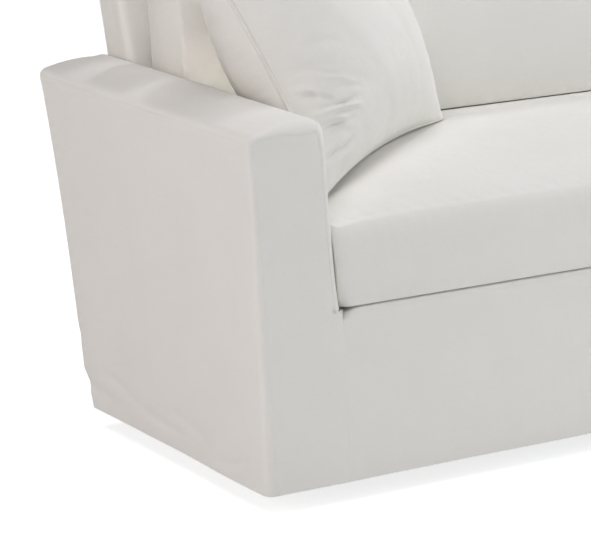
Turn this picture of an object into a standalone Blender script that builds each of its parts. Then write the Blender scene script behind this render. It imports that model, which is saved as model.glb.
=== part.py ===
"""A fitted sofa slipcover with the covered cushions that belong to it.

The body cover is hollow: thin panels that meet at their seams and stand open at the hem. The cushions
are filled solids. Lengths are in metres. Panels are worked out with the floor at z = 0, the left hem at
x = 0 and the front hem at y = 0, and then moved so that the origin lies under the top of the back.
"""

import bpy
import numpy as np

# Body cover
WIDTH = 2.14
HEM_Z = 0.040
CLOTH = 0.002
SEAM_GAP = 0.0006
BACK_TOP_Z = 0.860
DECK_Z = 0.338

# Arm section, left arm
ARM_EDGE_Z = 0.646
ARM_CROWN = 0.020
ARM_CROWN_REACH = 0.10
ARM_LEAN = 0.030
ARM_INNER_DECK_X = 0.1425
ARM_INNER_LEAN = 0.026
ARM_INNER_LEAN_TALL = 0.265
ARM_INNER_TOP_X = 0.1165
OUTER_FILLET = 0.016
INNER_FILLET = 0.036
OUTER_SEAM_Z = 0.636
INNER_SEAM_X = 0.1040
HEM_ROLL = 0.016
SIDE_ROLL = 0.012
EDGE_ROLL = 0.007
CREST_ROLL = 0.023
REAR_CREST_ROLL = 0.034
INNER_EDGE_ROLL = 0.019
INSIDE_ROLL = 0.011

# Depth of the body, from the front hem
REAR_Y_AT_ARM = 0.767
REAR_RAKE = 0.154
BACK_RAKE_MORE = 0.13
RAKE_KNEE = 0.02
HEM_TUCK = 0.015
HEM_TUCK_TOP_Z = 0.135
FRONT_BULGE = 0.010
INSIDE_BACK_Y = 0.600
INSIDE_BACK_RAKE = 0.225
INSIDE_BACK_RAKE_MORE = 0.09
INSIDE_BACK_BEND_Z = 0.66
BACK_SIDE_X = 0.1055
BACK_CORNER = 0.045
BACK_LOW_Z = 0.650
BACK_ROLL = 0.016
BACK_WRAP = 0.022
APRON_X = 0.1535
APRON_WRAP = 0.030
APRON_ROLL = 0.012
NOTCH_X = 0.144
NOTCH_Z = 0.331
NOTCH_LOW_Z = 0.320
REAR_SEAM_X = 0.1210

# Cushions
SEAT_FRONT_Y = 0.003
SEAT_REAR_Y = 0.590
SEAT_BOTTOM_Z = 0.3405
SEAT_EDGE_Z = 0.4925
SEAT_CROWN = 0.050
SEAT_CORNER = 0.026
SEAT_SIDE_X = 0.125
SEAT_RISE_SIDE = 0.30
SEAT_RISE_FRONT = 0.26
SEAT_RISE_REAR = 0.14
SEAT_DROOP = 0.009
SEAT_DROOP_WIDE = 0.18
SEAT_DROOP_DEEP = 0.10
SEAT_BOXING_BULGE = 0.013
SEAT_BOXING_SKEW = 0.6
SEAT_BOXING_LOOPS = (0.05, 0.17, 0.45, 0.78)
BACK_BOXING_BULGE = 0.008
BACK_BOXING_LOOPS = (0.25, 0.50, 0.75)
BACK_CUSHION_TOP_Z = 0.895
BACK_CUSHION_LOW_Z = 0.529
BACK_CUSHION_THICK = 0.115
BACK_CUSHION_Y = 0.556
BACK_CUSHION_RAKE = 0.10
BACK_CUSHION_CORNER = 0.045
BACK_CUSHION_FRONT_CROWN = 0.034
BACK_CUSHION_REAR_CROWN = 0.040
CLEAR = 0.002
TOUCH = 0.0012

# Pillow: its lower left corner, turn about the vertical, lean back and rise along its lower edge
PILLOW_SIDE = 0.53
PILLOW_HALF_THICK = 0.135
PILLOW_REAR_FULL = 0.35
PILLOW_CORNER = (0.172, 0.091, 0.513)
PILLOW_TURN = 36.0
PILLOW_LEAN = 28.8
PILLOW_RISE = 3.0
PILLOW_DRAWN_SIDE = 0.10
PILLOW_DRAWN_LOW = 0.08
PILLOW_CLEAR = 0.010

ORIGIN = np.array((WIDTH / 2, 0.785, BACK_TOP_Z - CLOTH))


def ease(t):
    """Smooth step of t from 0 to 1."""
    t = np.clip(t, 0.0, 1.0)
    return t * t * (3.0 - 2.0 * t)


def soft_ramp(t, width):
    """0 below zero and t above it, with a rounded knee of the given width."""
    return (t + np.sqrt(t * t + width * width)) / 2.0


def ripple(a, b, waves):
    """Sum of slanted sine waves; each row of waves is height, turns along a, turns along b, phase."""
    total = np.zeros(np.broadcast(a, b).shape)
    for height, turns_a, turns_b, phase in waves:
        total = total + height * np.sin(2 * np.pi * (turns_a * a + turns_b * b) + phase)
    return total


# --- materials and meshes ---------------------------------------------------------------------


def linen(name, colour):
    """Off-white cotton-linen cloth."""
    material = bpy.data.materials.new(name)
    material.use_nodes = True
    shader = material.node_tree.nodes["Principled BSDF"]
    shader.inputs["Base Color"].default_value = (*colour, 1.0)
    shader.inputs["Roughness"].default_value = 0.9
    shader.inputs["Metallic"].default_value = 0.0
    material.diffuse_color = (*colour, 1.0)
    return material


def add_mesh(name, points, faces, material):
    """Makes a smooth-shaded mesh object, moved so that ORIGIN becomes the world's origin."""
    mesh = bpy.data.meshes.new(name)
    mesh.from_pydata((points - ORIGIN).tolist(), [], faces)
    mesh.shade_smooth()
    mesh.materials.append(material)
    mesh.update()
    bpy.data.objects.new(name, mesh)
    bpy.context.scene.collection.objects.link(bpy.data.objects[name])


def grid_faces(rows, columns, start=0, flip=False):
    """Quads of a grid whose vertices are numbered row by row from start."""
    faces = []
    for i in range(rows - 1):
        for j in range(columns - 1):
            a = start + i * columns + j
            quad = (a, a + 1, a + columns + 1, a + columns)
            faces.append(quad[::-1] if flip else quad)
    return faces


def grid_normals(points):
    """Unit normals of a grid of points, averaged from the quads round each and carried on to the edges."""
    corner = points[:-1, :-1]
    quads = np.cross(points[1:, 1:] - corner, points[:-1, 1:] - points[1:, :-1])
    normals = np.zeros_like(points)
    for i in (0, 1):
        for j in (0, 1):
            normals[i : i + len(quads), j : j + quads.shape[1]] += quads
    normals = normals / np.linalg.norm(normals, axis=2, keepdims=True)
    for edge, second in ((0, 1), (-1, -2)):
        normals[edge] = 2 * normals[edge] - normals[second]
        normals[:, edge] = 2 * normals[:, edge] - normals[:, second]
    return normals / np.linalg.norm(normals, axis=2, keepdims=True)


def panel(name, points, inside, material, mirrored=False):
    """Closed sheet CLOTH thick whose outer face is the grid of points; inside is a point behind it."""
    inside = np.array(inside, dtype=float)
    if mirrored:
        points = points * (-1, 1, 1) + (WIDTH, 0, 0)
        inside = inside * (-1, 1, 1) + (WIDTH, 0, 0)
    rows, columns = points.shape[:2]
    normals = grid_normals(points)
    outward = np.sum(normals * (points - inside)) > 0
    normals = normals if outward else -normals
    back = points - normals * CLOTH
    count = rows * columns
    faces = grid_faces(rows, columns, 0, outward) + grid_faces(rows, columns, count, not outward)
    rim = [j for j in range(columns)]
    rim += [i * columns + columns - 1 for i in range(1, rows)]
    rim += [(rows - 1) * columns + j for j in range(columns - 2, -1, -1)]
    rim += [i * columns for i in range(rows - 2, 0, -1)]
    for a, b in zip(rim, rim[1:] + rim[:1]):
        quad = (b, a, a + count, b + count)
        faces.append(quad[::-1] if outward else quad)
    vertices = np.concatenate((points.reshape(-1, 3), back.reshape(-1, 3)))
    add_mesh(name, vertices, faces, material)


# --- shape of the body ------------------------------------------------------------------------


def outer_x(z):
    """Outside arm face: leans out, more near the top."""
    t = (z - HEM_Z) / (ARM_EDGE_Z - HEM_Z)
    return -ARM_LEAN * (0.75 * t + 0.25 * t**4)


def inner_x(z):
    """Inside arm face: leans out from the deck upwards."""
    t = np.clip((z - DECK_Z) / ARM_INNER_LEAN_TALL, 0.0, 1.3)
    return ARM_INNER_DECK_X - ARM_INNER_LEAN * t**0.75


def arm_top_z(x):
    """Padded arm top, lowest at its outer edge."""
    t = np.clip((x + ARM_LEAN) / ARM_CROWN_REACH, 0.0, 1.0)
    return ARM_EDGE_Z + ARM_CROWN * np.sin(t * np.pi / 2)


def front_y(z):
    """Front face of the arms and apron, a little proud near the top."""
    t = (z - HEM_Z) / (ARM_EDGE_Z - HEM_Z)
    return -FRONT_BULGE * t * t


def rear_y(z):
    """Rear face: raked, tucked in at the hem and raked further above the arms."""
    tuck = HEM_TUCK * ease((HEM_TUCK_TOP_Z - z) / (HEM_TUCK_TOP_Z - HEM_Z))
    rake = REAR_RAKE * (z - ARM_EDGE_Z) + BACK_RAKE_MORE * soft_ramp(z - ARM_EDGE_Z, RAKE_KNEE)
    return REAR_Y_AT_ARM + rake - tuck


def inside_back_y(z):
    """Front face of the back, raked from the deck up."""
    more = INSIDE_BACK_RAKE_MORE * soft_ramp(z - INSIDE_BACK_BEND_Z, RAKE_KNEE)
    return INSIDE_BACK_Y + INSIDE_BACK_RAKE * (z - DECK_Z) + more


def bend(a, corner, b, count):
    """Points of a quadratic curve from a to b that turns at the corner, ends left out."""
    t = np.linspace(0, 1, count + 2)[1:-1, None]
    return (1 - t) ** 2 * a + 2 * t * (1 - t) * corner + t * t * b


def arm_outline():
    """Dense outline of the left arm in x and z: up outside, over the top, down inside to the deck."""
    z = np.linspace(HEM_Z, ARM_EDGE_Z - OUTER_FILLET, 120)
    outside = np.stack((outer_x(z), z), axis=1)
    left = outer_x(ARM_EDGE_Z)
    x = np.linspace(left + OUTER_FILLET, ARM_INNER_TOP_X - INNER_FILLET, 60)
    top = np.stack((x, arm_top_z(x)), axis=1)
    crest = ARM_EDGE_Z + ARM_CROWN
    z = np.linspace(crest - INNER_FILLET, DECK_Z, 90)
    inside = np.stack((inner_x(z), z), axis=1)
    first = bend(outside[-1], np.array((left, ARM_EDGE_Z + 0.002)), top[0], 30)
    second = bend(top[-1], np.array((ARM_INNER_TOP_X, crest)), inside[0], 40)
    return np.concatenate((outside, first, top, second, inside))


class ArmSection:
    """The arm's outline as a function of the distance along it."""

    def __init__(self):
        self.points = arm_outline()
        steps = np.linalg.norm(np.diff(self.points, axis=0), axis=1)
        self.along = np.concatenate(((0.0,), np.cumsum(steps)))
        self.length = self.along[-1]
        crest = np.argmax(self.points[:, 1])
        self.outer_seam = np.interp(OUTER_SEAM_Z, self.points[:crest, 1], self.along[:crest])
        past = self.points[:, 1] > 0.64
        past &= np.arange(len(past)) > crest
        self.inner_seam = np.interp(INNER_SEAM_X, self.points[past, 0], self.along[past])

    def at(self, s):
        """Position in x and z at distance s."""
        return np.stack([np.interp(s, self.along, self.points[:, k]) for k in (0, 1)], axis=-1)

    def normal(self, s):
        """Outward direction in x and z at distance s."""
        step = 0.002
        ahead = self.at(np.minimum(s + step, self.length))
        tangent = ahead - self.at(np.maximum(s - step, 0.0))
        tangent = tangent / np.linalg.norm(tangent, axis=-1, keepdims=True)
        return np.stack((-tangent[..., 1], tangent[..., 0]), axis=-1)

    def roll(self, s, crest_roll=CREST_ROLL):
        """Radius with which the cloth rolls over the arm's ends: largest over the padded crest."""
        crest = self.outer_seam + 0.75 * (self.inner_seam - self.outer_seam)
        places = (0.0, 0.4 * self.outer_seam, self.outer_seam, crest)
        places += (self.inner_seam, self.inner_seam + 0.05)
        sizes = (HEM_ROLL, SIDE_ROLL, EDGE_ROLL, crest_roll, INNER_EDGE_ROLL, INSIDE_ROLL)
        return np.interp(s, places, sizes)


ARM = ArmSection()
OUTER_ROWS = np.linspace(0.0, ARM.outer_seam - SEAM_GAP / 2, 16)
TOP_ROWS = np.linspace(ARM.outer_seam + SEAM_GAP / 2, ARM.inner_seam - SEAM_GAP / 2, 13)
INNER_TURN = np.linspace(ARM.inner_seam + SEAM_GAP / 2, ARM.inner_seam + 0.03, 4)
INNER_ROWS = np.concatenate((INNER_TURN, np.linspace(ARM.inner_seam + 0.06, ARM.length - SEAM_GAP, 6)))

OUTSIDE_WAVES = ((0.0012, 1.2, 0.4, 0.5), (0.0009, 0.5, 1.6, 2.0), (0.0006, 2.6, 0.8, 4.0))
TOP_WAVES = ((0.0012, 0.4, 1.4, 1.0), (0.0008, 0.9, 2.7, 3.0))


def arm_grid(rows, columns, waves, rear=True):
    """Outer face of a long arm panel, rolled over the front end and, if asked, the rear end."""
    turns = np.sin(np.linspace(0, np.pi / 2, 4)), np.cos(np.linspace(0, np.pi / 2, 4))
    base, normal, roll = ARM.at(rows), ARM.normal(rows), ARM.roll(rows)
    rear_roll = ARM.roll(rows, REAR_CREST_ROLL)
    z = base[:, 1]
    front = front_y(z)
    back = rear_y(z) if rear else inside_back_y(z) - CLEAR
    inset = [roll * (1 - sine) for sine in turns[0]]
    y = [front + roll * (1 - cosine) for cosine in turns[1]]
    stop = back - rear_roll if rear else back
    for t in np.linspace(0, 1, columns)[1:]:
        inset.append(np.zeros_like(roll))
        y.append(front + roll + t * (stop - front - roll))
    if rear:
        inset += [rear_roll * (1 - sine) for sine in turns[0][-2::-1]]
        y += [back - rear_roll * (1 - cosine) for cosine in turns[1][-2::-1]]
    inset, y = np.stack(inset, axis=1), np.stack(y, axis=1)
    a = (rows - rows[0])[:, None] / (rows[-1] - rows[0])
    b = np.clip((y - front[:, None]) / (back - front)[:, None], 0, 1)
    fade = ease(a / 0.12) * ease((1 - a) / 0.12) * ease((b - 0.04) / 0.10) * ease((0.96 - b) / 0.10)
    inset = inset - ripple(a, b, waves) * fade
    x = base[:, 0, None] - normal[:, 0, None] * inset
    return np.stack((x, y, base[:, 1, None] - normal[:, 1, None] * inset), axis=2)


def filled(left, top, right, y_at, bulge):
    """Grid of rows up a panel between its left, top and right edges, given in x and z, and its level hem."""
    rows, columns = len(left), len(top)
    u = np.linspace(0, 1, columns)[None, :, None]
    v = np.linspace(0, 1, rows)[:, None, None]
    hem = left[0] + u[0] * (right[0] - left[0])
    top = top.copy()
    top[0], top[-1] = left[-1], right[-1]
    corners = (1 - v) * hem[None] + v * ((1 - u) * left[-1] + u * right[-1])
    flat = (1 - u) * left[:, None] + u * right[:, None]
    flat = flat + (1 - v) * hem[None] + v * top[None] - corners
    swell = np.sin(np.pi * u[..., 0]) * ease(2 * v[..., 0]) * ease(2 * (1 - v[..., 0]))
    y = y_at(flat[..., 1]) + bulge * swell
    return np.stack((flat[..., 0], y, flat[..., 1]), axis=2)


def inset_outline(rows, crest_roll=CREST_ROLL):
    """Arm outline drawn in by the roll and a seam's gap."""
    return ARM.at(rows) - ARM.normal(rows) * (ARM.roll(rows, crest_roll) + SEAM_GAP)[:, None]


def front_facing():
    """Front panel of the arm, with its step out to the apron's seam under the cushion."""
    edge = APRON_X - SEAM_GAP
    corner = inset_outline(INNER_ROWS[-1:])[0] - (0.0, 0.003)
    step = np.array((corner, (NOTCH_X, NOTCH_Z)))
    z = np.linspace(NOTCH_LOW_Z, HEM_Z, 4)
    seam = np.stack((np.full_like(z, edge), z), axis=1)
    right = np.concatenate((inset_outline(INNER_ROWS), step, seam))[::-1]
    return filled(inset_outline(OUTER_ROWS), inset_outline(TOP_ROWS), right, front_y, -0.002)


def rear_facing():
    """Rear panel of the arm, up to the seam of the outside back."""
    edge = REAR_SEAM_X - SEAM_GAP
    z = np.linspace(HEM_Z, ARM_EDGE_Z - 0.01, len(OUTER_ROWS))
    right = np.stack((np.full_like(z, edge), z), axis=1)
    left = inset_outline(OUTER_ROWS)
    return filled(left, inset_outline(TOP_ROWS, REAR_CREST_ROLL), right, rear_y, 0.001)


def apron_grid():
    """Apron from the hem up and rolled over its top edge onto the deck."""
    x = np.linspace(APRON_X, WIDTH - APRON_X, 26)
    rise = np.linspace(HEM_Z, DECK_Z - APRON_ROLL, 9)
    turn = np.linspace(0, np.pi / 2, 4)[1:]
    z = np.concatenate((rise, DECK_Z - APRON_ROLL * (1 - np.sin(turn)), (DECK_Z,)))
    y = np.concatenate((front_y(rise), front_y(DECK_Z) + APRON_ROLL * (1 - np.cos(turn)), (APRON_WRAP,)))
    a = (x[None, :] - x[0]) / (x[-1] - x[0])
    b = (z[:, None] - HEM_Z) / (DECK_Z - HEM_Z)
    fade = ease(a / 0.05) * ease((1 - a) / 0.05) * ease((1 - b) / 0.3)
    wave = ripple(a, b, ((0.0014, 1.3, 0.3, 0.4), (0.0010, 3.1, -0.4, 1.0), (0.0006, 6.3, 0.5, 2.0)))
    depth = y[:, None] + wave * fade
    return np.stack(np.broadcast_arrays(x[None, :], depth, z[:, None]), axis=2)


def deck_grid():
    """Flat panel under the seat cushion."""
    x = np.linspace(ARM_INNER_DECK_X + 0.001, WIDTH - ARM_INNER_DECK_X - 0.001, 8)
    y = np.linspace(APRON_WRAP + SEAM_GAP, inside_back_y(DECK_Z) - CLEAR, 4)
    return np.stack(np.broadcast_arrays(x[None, :], y[:, None], DECK_Z), axis=2)


def arch(left, top, corner, low, rows_side, rows_top):
    """Symmetrical arch in x and z over the sofa's width: up the left, over the top, down the right."""
    z = np.linspace(low, top - corner, rows_side)
    angle = np.linspace(0, np.pi / 2, 5)[1:-1]
    x = np.linspace(left + corner, WIDTH / 2, rows_top)
    side = np.stack((np.full_like(z, left), z), axis=1)
    turn = np.stack((left + corner * (1 - np.cos(angle)), top - corner * (1 - np.sin(angle))), axis=1)
    half = np.concatenate((side, turn, np.stack((x, np.full_like(x, top)), axis=1)))
    other = half[-2::-1] * (-1, 1) + (WIDTH, 0)
    return np.concatenate((half, other))


def arch_normals(points):
    """Outward directions along an arch that runs up the left side first."""
    tangent = np.gradient(points, axis=0)
    tangent = tangent / np.linalg.norm(tangent, axis=1, keepdims=True)
    return np.stack((-tangent[:, 1], tangent[:, 0]), axis=1)


def inside_back_grid():
    """Front of the back, wrapped round its top and side edges above the arms and cut flat between them."""
    low = np.array([(inner_x(z) + 0.001 + 0.004, z) for z in (DECK_Z + 0.003, 0.45, 0.54, 0.62)])
    high = arch(BACK_SIDE_X, BACK_TOP_Z, BACK_CORNER, BACK_LOW_Z, 4, 7)
    outward = arch_normals(high)
    edge = high - outward * BACK_ROLL
    other = low[::-1] * (-1, 1) + (WIDTH, 0)
    edge = np.concatenate((low, edge, other))
    outward = np.concatenate((np.tile((-1.0, 0.0), (4, 1)), outward, np.tile((1.0, 0.0), (4, 1))))
    wrap = np.concatenate((np.zeros(4), np.ones(len(high)), np.zeros(4)))[:, None]
    full = np.array((BACK_ROLL * np.pi / 2 + BACK_WRAP, BACK_ROLL * np.pi / 2, 0.017, 0.008))
    short = np.array((0.004, 0.003, 0.002, 0.001))
    length = wrap * full + (1 - wrap) * short
    angle = np.minimum(length / BACK_ROLL, np.pi / 2)
    reach = BACK_ROLL * np.sin(angle)
    depth = BACK_ROLL * (1 - np.cos(angle)) + np.maximum(length - BACK_ROLL * np.pi / 2, 0)
    wrapped = edge[:, None] + outward[:, None] * reach[..., None]
    foot_z = DECK_Z + 0.003
    t = np.linspace(0, 1, len(edge))[:, None]
    foot = np.concatenate((0.6 + t * (WIDTH - 1.2), np.full_like(t, foot_z)), axis=1)
    inward = np.array((0.0, 0.25, 0.6, 1.0))
    flat = edge[:, None] + inward[None, :, None] * (foot - edge)[:, None]
    face = np.concatenate((wrapped, flat), axis=1)
    depth = np.concatenate((depth, np.zeros((len(edge), 4))), axis=1)
    y = inside_back_y(face[..., 1]) + depth
    return np.stack((face[..., 0], y, face[..., 1]), axis=2)


def back_band_grid():
    """Boxing strip round the back, rolled over the rear edge."""
    high = arch(BACK_SIDE_X, BACK_TOP_Z, BACK_CORNER, BACK_LOW_Z, 4, 7)
    outward = arch_normals(high)
    front = inside_back_y(high[:, 1]) + BACK_ROLL + BACK_WRAP + SEAM_GAP
    rear = rear_y(high[:, 1])
    roll = REAR_SEAM_X - BACK_SIDE_X - SEAM_GAP
    turn = np.linspace(np.pi / 2, 0, 4)
    inset = [np.zeros_like(front), np.zeros_like(front)]
    y = [front, (front + rear - roll) / 2]
    inset += [np.full_like(front, roll * (1 - np.sin(a))) for a in turn]
    y += [rear - roll * (1 - np.cos(a)) for a in turn]
    inset, y = np.stack(inset, axis=1), np.stack(y, axis=1)
    flat = high[:, None] - outward[:, None] * inset[..., None]
    return np.stack((flat[..., 0], y, flat[..., 1]), axis=2)


def outside_back_grid():
    """Rear panel between the arms' rear facings, up to the boxing strip."""
    high = arch(BACK_SIDE_X, BACK_TOP_Z, BACK_CORNER, BACK_LOW_Z, 4, 7)
    edge = high - arch_normals(high) * (REAR_SEAM_X - BACK_SIDE_X)
    turn = 5
    low = np.array([(REAR_SEAM_X, z) for z in (HEM_Z, 0.09, 0.14, 0.24, 0.36, 0.48, 0.58)])
    left = np.concatenate((low, edge[: turn + 1]))
    right = left * (-1, 1) + (WIDTH, 0)
    return filled(left, edge[turn : len(edge) - turn], right, rear_y, 0.002)


# --- cushions -----------------------------------------------------------------------------------


def rounded(a, b, half_a, half_b, corner):
    """Moves the points of a rectangle's grid so that its corners become round."""
    over_a = np.abs(a) - (half_a - corner)
    over_b = np.abs(b) - (half_b - corner)
    largest = np.maximum(over_a, over_b)
    length = np.hypot(over_a, over_b)
    inside = (over_a <= 0) | (over_b <= 0)
    scale = np.where(inside, 1.0, largest / np.where(inside, 1.0, length))
    new_a = np.where(inside, a, np.sign(a) * (half_a - corner + over_a * scale))
    new_b = np.where(inside, b, np.sign(b) * (half_b - corner + over_b * scale))
    return new_a, new_b


def spread(half, corner, count):
    """Positions from -half to half, closer together near the ends and with one at each corner's start."""
    ends = half - corner * np.array((0.0, 0.3, 0.62, 1.0))
    middle = np.linspace(-ends[-1], ends[-1], count)[1:-1]
    return np.concatenate((-ends, middle, ends[::-1]))


def ring(rows, columns):
    """Vertex numbers round the edge of a grid, in order."""
    around = [j for j in range(columns)]
    around += [i * columns + columns - 1 for i in range(1, rows)]
    around += [(rows - 1) * columns + j for j in range(columns - 2, -1, -1)]
    return around + [i * columns for i in range(rows - 2, 0, -1)]


def cushion(name, front, rear, sides, material):
    """Closed solid from a front grid, a rear grid and the loops of the boxing strip between their edges."""
    rows, columns = front.shape[:2]
    count = rows * columns
    around = ring(rows, columns)
    loops = [around]
    vertices = [front.reshape(-1, 3), rear.reshape(-1, 3)]
    start = 2 * count
    for loop in sides:
        vertices.append(loop)
        loops.append([start + k for k in range(len(around))])
        start += len(around)
    loops.append([count + k for k in around])
    faces = grid_faces(rows, columns, 0, False) + grid_faces(rows, columns, count, True)
    for one, two in zip(loops, loops[1:]):
        for k in range(len(around)):
            n = (k + 1) % len(around)
            faces.append((one[n], one[k], two[k], two[n]))
    points = np.concatenate(vertices)
    centre = points.mean(axis=0)
    a, b, c = points[faces[0][0]], points[faces[0][1]], points[faces[0][2]]
    if np.dot(np.cross(b - a, c - a), a - centre) < 0:
        faces = [face[::-1] for face in faces]
    add_mesh(name, points, faces, material)


def boxing(front, rear, bulge, skew, places):
    """Loops between the edges of two grids, pushed outward; a skew below 1 is fuller near the front."""
    rows, columns = front.shape[:2]
    around = ring(rows, columns)
    one = front.reshape(-1, 3)[around]
    two = rear.reshape(-1, 3)[around]
    across = two - one
    tangent = np.roll(one, -1, axis=0) - np.roll(one, 1, axis=0)
    outward = np.cross(tangent, across)
    outward = outward / np.linalg.norm(outward, axis=1, keepdims=True)
    if np.sum(outward * (one - one.mean(axis=0))) < 0:
        outward = -outward
    loops = []
    for t in places:
        loops.append(one + t * across + outward * bulge * np.sin(np.pi * t**skew))
    return loops


def seat_top_z(x, y):
    """Crowned top of the seat cushion."""
    inward = np.minimum(x - SEAT_SIDE_X, WIDTH - SEAT_SIDE_X - x)
    across = np.sin(np.pi / 2 * np.clip(inward / SEAT_RISE_SIDE, 0, 1)) ** 0.8
    fore = np.sin(np.pi / 2 * np.clip((y - SEAT_FRONT_Y) / SEAT_RISE_FRONT, 0, 1)) ** 0.9
    aft = np.sin(np.pi / 2 * np.clip((SEAT_REAR_Y + 0.01 - y) / SEAT_RISE_REAR, 0, 1)) ** 0.8
    wide = np.clip(1 - (inward - 0.01) / SEAT_DROOP_WIDE, 0, 1) ** 2
    deep = np.clip(1 - (y - SEAT_FRONT_Y) / SEAT_DROOP_DEEP, 0, 1) ** 2
    return SEAT_EDGE_Z + SEAT_CROWN * across * fore * aft - SEAT_DROOP * wide * deep


def seat_cushion(material):
    """Long box cushion between the inside arms."""
    half_a, half_b = WIDTH / 2, (SEAT_REAR_Y - SEAT_FRONT_Y) / 2
    middle_y = (SEAT_REAR_Y + SEAT_FRONT_Y) / 2
    a, b = np.meshgrid(spread(half_a, SEAT_CORNER, 16), spread(half_b, SEAT_CORNER, 7))
    a, b = rounded(a, b, half_a, half_b, SEAT_CORNER)
    faces = []
    for top in (True, False):
        z_side = SEAT_EDGE_Z if top else SEAT_BOTTOM_Z
        left = inner_x(z_side) + CLEAR
        x = WIDTH / 2 + a * (WIDTH / 2 - left) / half_a
        y = middle_y + b
        z = seat_top_z(x, y) if top else np.full_like(x, SEAT_BOTTOM_Z)
        wall = inner_x(z) + CLEAR
        faces.append(np.stack((np.clip(x, wall, WIDTH - wall), y, z), axis=2))
    loops = boxing(faces[0], faces[1], SEAT_BOXING_BULGE, SEAT_BOXING_SKEW, SEAT_BOXING_LOOPS)
    for loop in loops:
        wall = inner_x(loop[:, 2]) + CLEAR
        loop[:, 0] = np.clip(loop[:, 0], wall, WIDTH - wall)
    cushion("seat_cushion", faces[0], faces[1], loops, material)


def back_cushion_y(z):
    """Middle plane of the back cushions."""
    return BACK_CUSHION_Y + BACK_CUSHION_RAKE * (z - SEAT_EDGE_Z - SEAT_CROWN)


def back_cushion(name, mirrored, material):
    """Upright box cushion whose front and rear are crowned, resting on the seat cushion."""
    left, right = inner_x(0.60) + TOUCH, WIDTH / 2 - CLEAR
    low, high = BACK_CUSHION_LOW_Z, BACK_CUSHION_TOP_Z
    half_a, half_b = (right - left) / 2, (high - low) / 2
    corner = BACK_CUSHION_CORNER
    a, b = np.meshgrid(spread(half_a, corner, 9), spread(half_b, corner, 7))
    a, b = rounded(a, b, half_a, half_b, corner)
    lift = np.clip(1 - (a / half_a) ** 2, 0, 1) ** 0.45 * np.clip(1 - (b / half_b) ** 2, 0, 1) ** 0.55
    drawn = 1 - 0.02 * (1 - (b / half_b) ** 2) * np.abs(a / half_a) ** 3
    x = (left + right) / 2 + a * drawn
    z = (low + high) / 2 + b * (1 - 0.03 * (1 - (a / half_a) ** 2) * np.abs(b / half_b) ** 3)
    faces = []
    for crown, side in ((BACK_CUSHION_FRONT_CROWN, -1), (BACK_CUSHION_REAR_CROWN, 1)):
        y = back_cushion_y(z) + side * (BACK_CUSHION_THICK / 2 + crown * lift)
        faces.append(fit_cushion(np.stack((x, y, z), axis=2)))
    loops = [fit_cushion(loop) for loop in boxing(faces[0], faces[1], BACK_BOXING_BULGE, 1.0, BACK_BOXING_LOOPS)]
    if mirrored:
        faces = [face * (-1, 1, 1) + (WIDTH, 0, 0) for face in faces]
        loops = [loop * (-1, 1, 1) + (WIDTH, 0, 0) for loop in loops]
    cushion(name, faces[0], faces[1], loops, material)


def fit_cushion(points):
    """Presses a back cushion's points up off the seat cushion and forward off the inside back."""
    x, y, z = points[..., 0], points[..., 1], points[..., 2]
    y = np.minimum(y, inside_back_y(z) - CLEAR)
    z = np.maximum(z, seat_top_z(x, np.clip(y, SEAT_FRONT_Y, SEAT_REAR_Y)) + CLEAR)
    x = np.clip(x, inner_x(z) + TOUCH, WIDTH / 2 - CLEAR)
    return np.stack((x, y, z), axis=-1)


def pillow_axes():
    """Unit vectors along the pillow's lower edge, up its left edge and out of its front."""
    turn, lean, rise = np.radians((PILLOW_TURN, PILLOW_LEAN, PILLOW_RISE))
    along = np.array((np.cos(turn) * np.cos(rise), np.sin(turn) * np.cos(rise), np.sin(rise)))
    level = np.array((-np.sin(turn), np.cos(turn), 0.0))
    up = np.cos(lean) * np.cross(along, level) + np.sin(lean) * level
    return along, up, np.cross(along, up)


def back_cushion_front_y(x, z):
    """Front face of the left back cushion, carried on upwards and leaning away above its top."""
    half_a = (WIDTH / 2 - inner_x(0.60)) / 2
    half_b = (BACK_CUSHION_TOP_Z - BACK_CUSHION_LOW_Z) / 2
    a = (x - WIDTH / 2 + half_a) / half_a
    b = (z - BACK_CUSHION_TOP_Z + half_b) / half_b
    lift = np.clip(1 - a * a, 0, 1) ** 0.45 * np.clip(1 - b * b, 0, 1) ** 0.55
    front = back_cushion_y(z) - BACK_CUSHION_THICK / 2 - BACK_CUSHION_FRONT_CROWN * lift
    away = 1.5 * np.maximum(z - BACK_CUSHION_TOP_Z - 0.03, 0) + 2.0 * np.maximum(0.10 - x, 0)
    return front + away


def off_the_arm(x, z, clear):
    """Moves sunken points out over the arm's top, round its inner corner or off its inner face."""
    core_x = inner_x(np.minimum(z, ARM_EDGE_Z)) - INNER_FILLET
    core_z = arm_top_z(np.clip(x, -ARM_LEAN, ARM_INNER_TOP_X)) - INNER_FILLET
    reach = INNER_FILLET + clear
    a, b = x - core_x, z - core_z
    deep = (a <= 0) & (b <= 0)
    a0 = np.where(deep, np.where(b < a, 1.0, 0.0), np.maximum(a, 0))
    b0 = np.where(deep, np.where(b < a, 0.0, 1.0), np.maximum(b, 0))
    far = np.maximum(np.hypot(a0, b0), 1e-9)
    sunk = deep | (far < reach)
    x = np.where(sunk & (a0 > 0), core_x + a0 * reach / far, x)
    z = np.where(sunk & (b0 > 0), core_z + b0 * reach / far, z)
    return x, z


def fit_pillow(points):
    """Presses the pillow's points off the seat, the arm and the back cushion."""
    x, y, z = (points[..., k].copy() for k in range(3))
    y = np.minimum(y, back_cushion_front_y(x, z) - CLEAR)
    z = np.maximum(z, seat_top_z(x, y) + CLEAR)
    x, z = off_the_arm(x, z, PILLOW_CLEAR)
    return np.stack((x, y, z), axis=-1)


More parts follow.
